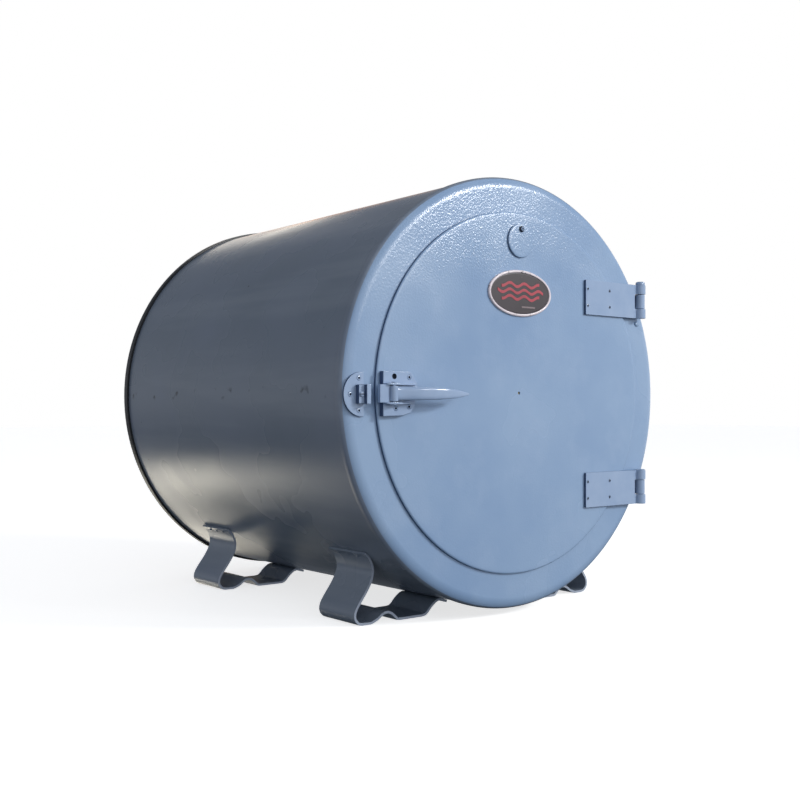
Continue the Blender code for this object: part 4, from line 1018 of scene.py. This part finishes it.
cutAway(flange, block("flangeHollow", (-panel["half"] + 1.2, start - 10, panel["low"] + 1.2),
                      (panel["half"] - 1.2, back + 10, panel["high"] - 1.2)))
weldOn(box, flange)
cutAway(box, drillBit(4.5, "Y", (0, knobZ), back - 5, back + 5),
        drillBit(6.1, "Y", (panel["lampX"], knobZ), back - 5, back + 5),
        drillBit(6.4, "Z", (panel["glandX"], 608), panel["low"] - 5, panel["low"] + 5))
for side in (-1, 1):                     # louvres low on each side
    for k in range(4):
        y = start + 10 + 7 * k
        cutAway(box, block("louvreCut", (side * panel["half"] - 3, y, -130), (side * panel["half"] + 3, y + 2.4, -75)))
finishPiece(box, "oven_body", "slateEnamel", "slate_enamel", "control_box")

corner = (panel["half"] + 6, start + 1.25, panel["high"] + 6)
boxScrews = panHead("boxScrews", corner, 3.2, 1.8)
tallGap = panel["high"] - panel["low"] + 12
repeat(boxScrews, [(-2 * corner[0], 0, 0), (0, 0, -tallGap), (-2 * corner[0], 0, -tallGap)])
finishPiece(boxScrews, "oven_body", "zincPlate", "galvanised_sheet")

dial = turnPiece("dialPlate", [(5.2, back + 0.3), (31, back + 0.3), (31, back + 0.9), (30.7, back + 1.1),
                               (5.2, back + 1.1)], "Y", (0, knobZ), 96)
finishPiece(dial, "oven_body", "dialAluminium", "dial_aluminium", "dial_plate")
ticks = []
for k in range(26):                      # a printed mark every ten degrees of scale, longer every fifty
    a = radians(240 - 12 * k)
    inner, outerR = (22.8 if k % 5 else 22.2), 24.2
    points = [at(-reach * cos(a), back + 1.12, knobZ + reach * sin(a)) for reach in (inner, outerR)]
    wide = 0.45 if k % 5 == 0 else 0.25
    mark = ribbon("dialTick", points, (wide * sin(a), 0, wide * cos(a)), 0.12)
    ticks.append(mark)
for k, number in enumerate(panel["numbers"]):
    a = radians(240 - 60 * k)
    clear()
    bpy.ops.object.text_add(rotation=(radians(90), 0, radians(180)),
                            location=at(-27.4 * cos(a), back + 1.1, knobZ + 27.4 * sin(a)))
    text = bpy.context.object
    text.data.body, text.data.size, text.data.extrude = number, 3.6 * mm, 0.06 * mm
    text.data.align_x, text.data.align_y = "CENTER", "CENTER"
    bpy.ops.object.convert(target="MESH")
    ticks.append(bpy.context.object)
dialMarks = joinAll(ticks)
dialMarks.name = dialMarks.data.name = "dialMarks"
finishPiece(dialMarks, "oven_body", "dialInk", "dial_aluminium")

skirt, knobEnd = back + 1.6, spot(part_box("thermostat_knob")[1])[1]
knob = turnPiece("thermostatKnob", [(0, 645.6), (3.4, 645.6), (3.4, skirt), (20.6, skirt), (21, skirt + 0.4),
                                    (21, skirt + 3), (20.4, skirt + 4), (16.6, skirt + 5),
                                    (15.6, knobEnd - 1.6), (15, knobEnd - 0.6), (13.6, knobEnd), (0, knobEnd)], "Y",
                                    (0, knobZ), 72)
flutes = []
for k in range(12):
    a = radians(30 * k + 15)
    flutes.append(drillBit(2.2, "Y", (17.4 * cos(a), knobZ + 17.4 * sin(a)), skirt + 5.5, knobEnd + 5, 16))
cutAway(knob, joinAll(flutes))
finishPiece(knob, "thermostat_knob", "phenolic", "black_phenolic", "thermostat_knob")
pointer = block("knobPointer", (-0.5, skirt + 4.2, knobZ + 17), (0.5, skirt + 4.6, knobZ + 20.6))
finishPiece(pointer, "thermostat_knob", "whiteInk", "dial_aluminium")

lamp = turnPiece("pilotLight", [(0, 612), (5.6, 612), (5.6, back + 0.3), (8.5, back + 0.3), (8.5, back + 2),
                                (8, back + 2.5), (6.6, back + 2.9), (6.2, back + 5.6),
                                (5, back + 7.5), (3, back + 8.5), (0, back + 8.8)], "Y", (panel["lampX"], knobZ), 48)
finishPiece(lamp, "oven_body", "amberLens", "amber_lens", "pilot_light")

gz = panel["low"]
gland = turnPiece("cordGland", [(4, gz + 6), (5.9, gz + 6), (5.9, gz - 0.3), (11, gz - 0.3), (11, gz - 7),
                                (9.4, gz - 7.6), (8.8, gz - 8), (7.6, gz - 18), (6.8, gz - 19.6),
                                (5.5, gz - 20), (4, gz - 20)], "Z", (panel["glandX"], 608), 48)
for k in range(6):                       # spanner flats
    a = radians(60 * k)
    x, y = panel["glandX"] + 14.7 * cos(a), 608 + 14.7 * sin(a)
    flat = block("flatCut", (-5, -9, gz - 7.3), (5, 9, gz - 0.2))
    flat.location = at(x, y, gz - 3.75)
    flat.rotation_euler = (0, 0, a)
    activate(flat)
    bpy.ops.object.transform_apply(location=True, rotation=True, scale=True)
    cutAway(gland, flat)
finishPiece(gland, "oven_body", "phenolic", "black_phenolic", "cord_gland")
print("controls made")

# floor, light and camera
studio = {"floor": "#E4E4E2", "floorGlow": 0.72, "keyPower": 50, "fillPower": 9, "glintPower": 0.9, "edgePower": 6,
          "sideShare": 0.62, "patchHeight": -0.375}
clear()
bpy.ops.mesh.primitive_plane_add(size=30, location=(0, 0, -0.0002))
floor = bpy.context.object
floor.name = "studioFloor"
paper, tree, shader, where = startFinish("paleFloor", Roughness=0.9, Emission_Strength=studio["floorGlow"])
shader.inputs["Base Color"].default_value = colour(studio["floor"])
shader.inputs["Emission Color"].default_value = colour("#FFFFFF")
floor.data.materials.append(paper)
floor.visible_glossy = floor.visible_diffuse = False


def softbox(name, place, target, size, power, tint):
    clear()
    bpy.ops.object.light_add(type="AREA", location=place)
    lamp = bpy.context.object
    lamp.name = name
    lamp.data.shape, lamp.data.size, lamp.data.size_y = "RECTANGLE", size[0], size[1]
    lamp.data.energy, lamp.data.color = power, colour(tint)[:3]
    lamp.rotation_euler = (Vector(target) - Vector(place)).to_track_quat("-Z", "Y").to_euler()
    lamp.visible_camera = False
    return lamp


softbox("frontRightSoftbox", (1.9, -2.6, 1.65), (0, -0.1, 0.35), (0.7, 0.35), studio["keyPower"], "#FFFFFF")
softbox("frontFill", (-0.6, -3.0, 1.2), (0, 0, 0.3), (2.4, 1.6), studio["fillPower"], "#F6F8FF")
softbox("overFrontStrip", (-0.6, -1.0, 1.75), (-0.15, -0.25, 0.45), (1.5, 0.1), studio["glintPower"], "#FFFFFF")
softbox("ringStreakLamp", (0.73, -2.5, 1.09), (-0.23, -0.3, 0.43), (0.3, 0.22), studio["edgePower"], "#FFFFFF")

world = bpy.data.worlds.new("studioWorld")
bpy.context.scene.world = world
world.use_nodes = True
sky = world.node_tree
backdrop = sky.nodes["Background"]
direction = addNode(sky, "ShaderNodeTexCoord").outputs["Generated"]
parts = addNode(sky, "ShaderNodeSeparateXYZ", links={"Vector": direction})
height = remap(sky, parts.outputs["Z"], (-1, 1))
room = toneRamp(sky, height, (0.0, (0.02, 0.025, 0.03, 1)), (0.25, (0.05, 0.06, 0.07, 1)), (0.38, (0.24, 0.26, 0.3, 1)),
                (0.5, (0.84, 0.88, 0.95, 1)), (0.66, (0.38, 0.41, 0.46, 1)), (0.75, (0.24, 0.26, 0.3, 1)),
                (1.0, (0.3, 0.32, 0.36, 1)))


def facing(place):                       # how squarely a direction looks at a place
    return addNode(sky, "ShaderNodeVectorMath", {1: Vector(place)}, {0: direction},
                   operation="DOT_PRODUCT").outputs["Value"]


sideShare = remap(sky, facing((0.6, -0.78, 0.1)), (-1, 1), (studio["sideShare"], 1.25))
room = addNode(sky, "ShaderNodeVectorMath", links={0: room, "Scale": sideShare}, operation="SCALE").outputs["Vector"]
smooth = {"interpolation_type": "SMOOTHSTEP"}
# a pale sunlit patch low behind the drum, which the lower left of the shell mirrors
offPatch = combine(sky, "ABSOLUTE", combine(sky, "ADD", parts.outputs["Z"], -studio["patchHeight"]), 0)
band = remap(sky, offPatch, (0.025, 0.09), (1, 0), **smooth)
spread = remap(sky, parts.outputs["X"], (-0.46, -0.22), **smooth)
behind = remap(sky, parts.outputs["Y"], (0.84, 0.89), **smooth)
patchShare = combine(sky, "MULTIPLY", combine(sky, "MULTIPLY", band, spread), behind)
glow = blend(sky, patchShare, room, (6.5, 6.1, 5.2, 1))
# a bright window and a tan wall far behind on the right, mirrored along the top of the shell
for place, reach, tint in (((0.4, 0.88, 0.26), (0.987, 0.994), (2.8, 2.6, 2.3, 1)),
                           ((0.55, 0.815, 0.17), (0.984, 0.996), (2.0, 1.15, 0.65, 1))):
    glow = blend(sky, remap(sky, facing(Vector(place).normalized()), reach, **smooth), glow, tint)
shown = blend(sky, addNode(sky, "ShaderNodeLightPath").outputs["Is Camera Ray"], glow, (1, 1, 1, 1))
sky.links.new(shown, backdrop.inputs["Color"])

clear()
bpy.ops.object.camera_add(location=(-0.9916, -1.3056, 0.2664), rotation=(radians(90), 0, radians(-38.33)))
camera = bpy.context.object
camera.name = "viewCamera"
camera.data.sensor_width, camera.data.lens = 36, 48.4
camera.data.shift_x, camera.data.shift_y = 0.0065, 0.0126
bpy.context.scene.camera = camera
bpy.context.scene.view_settings.view_transform = "Standard"
print("studio ready")

clear()
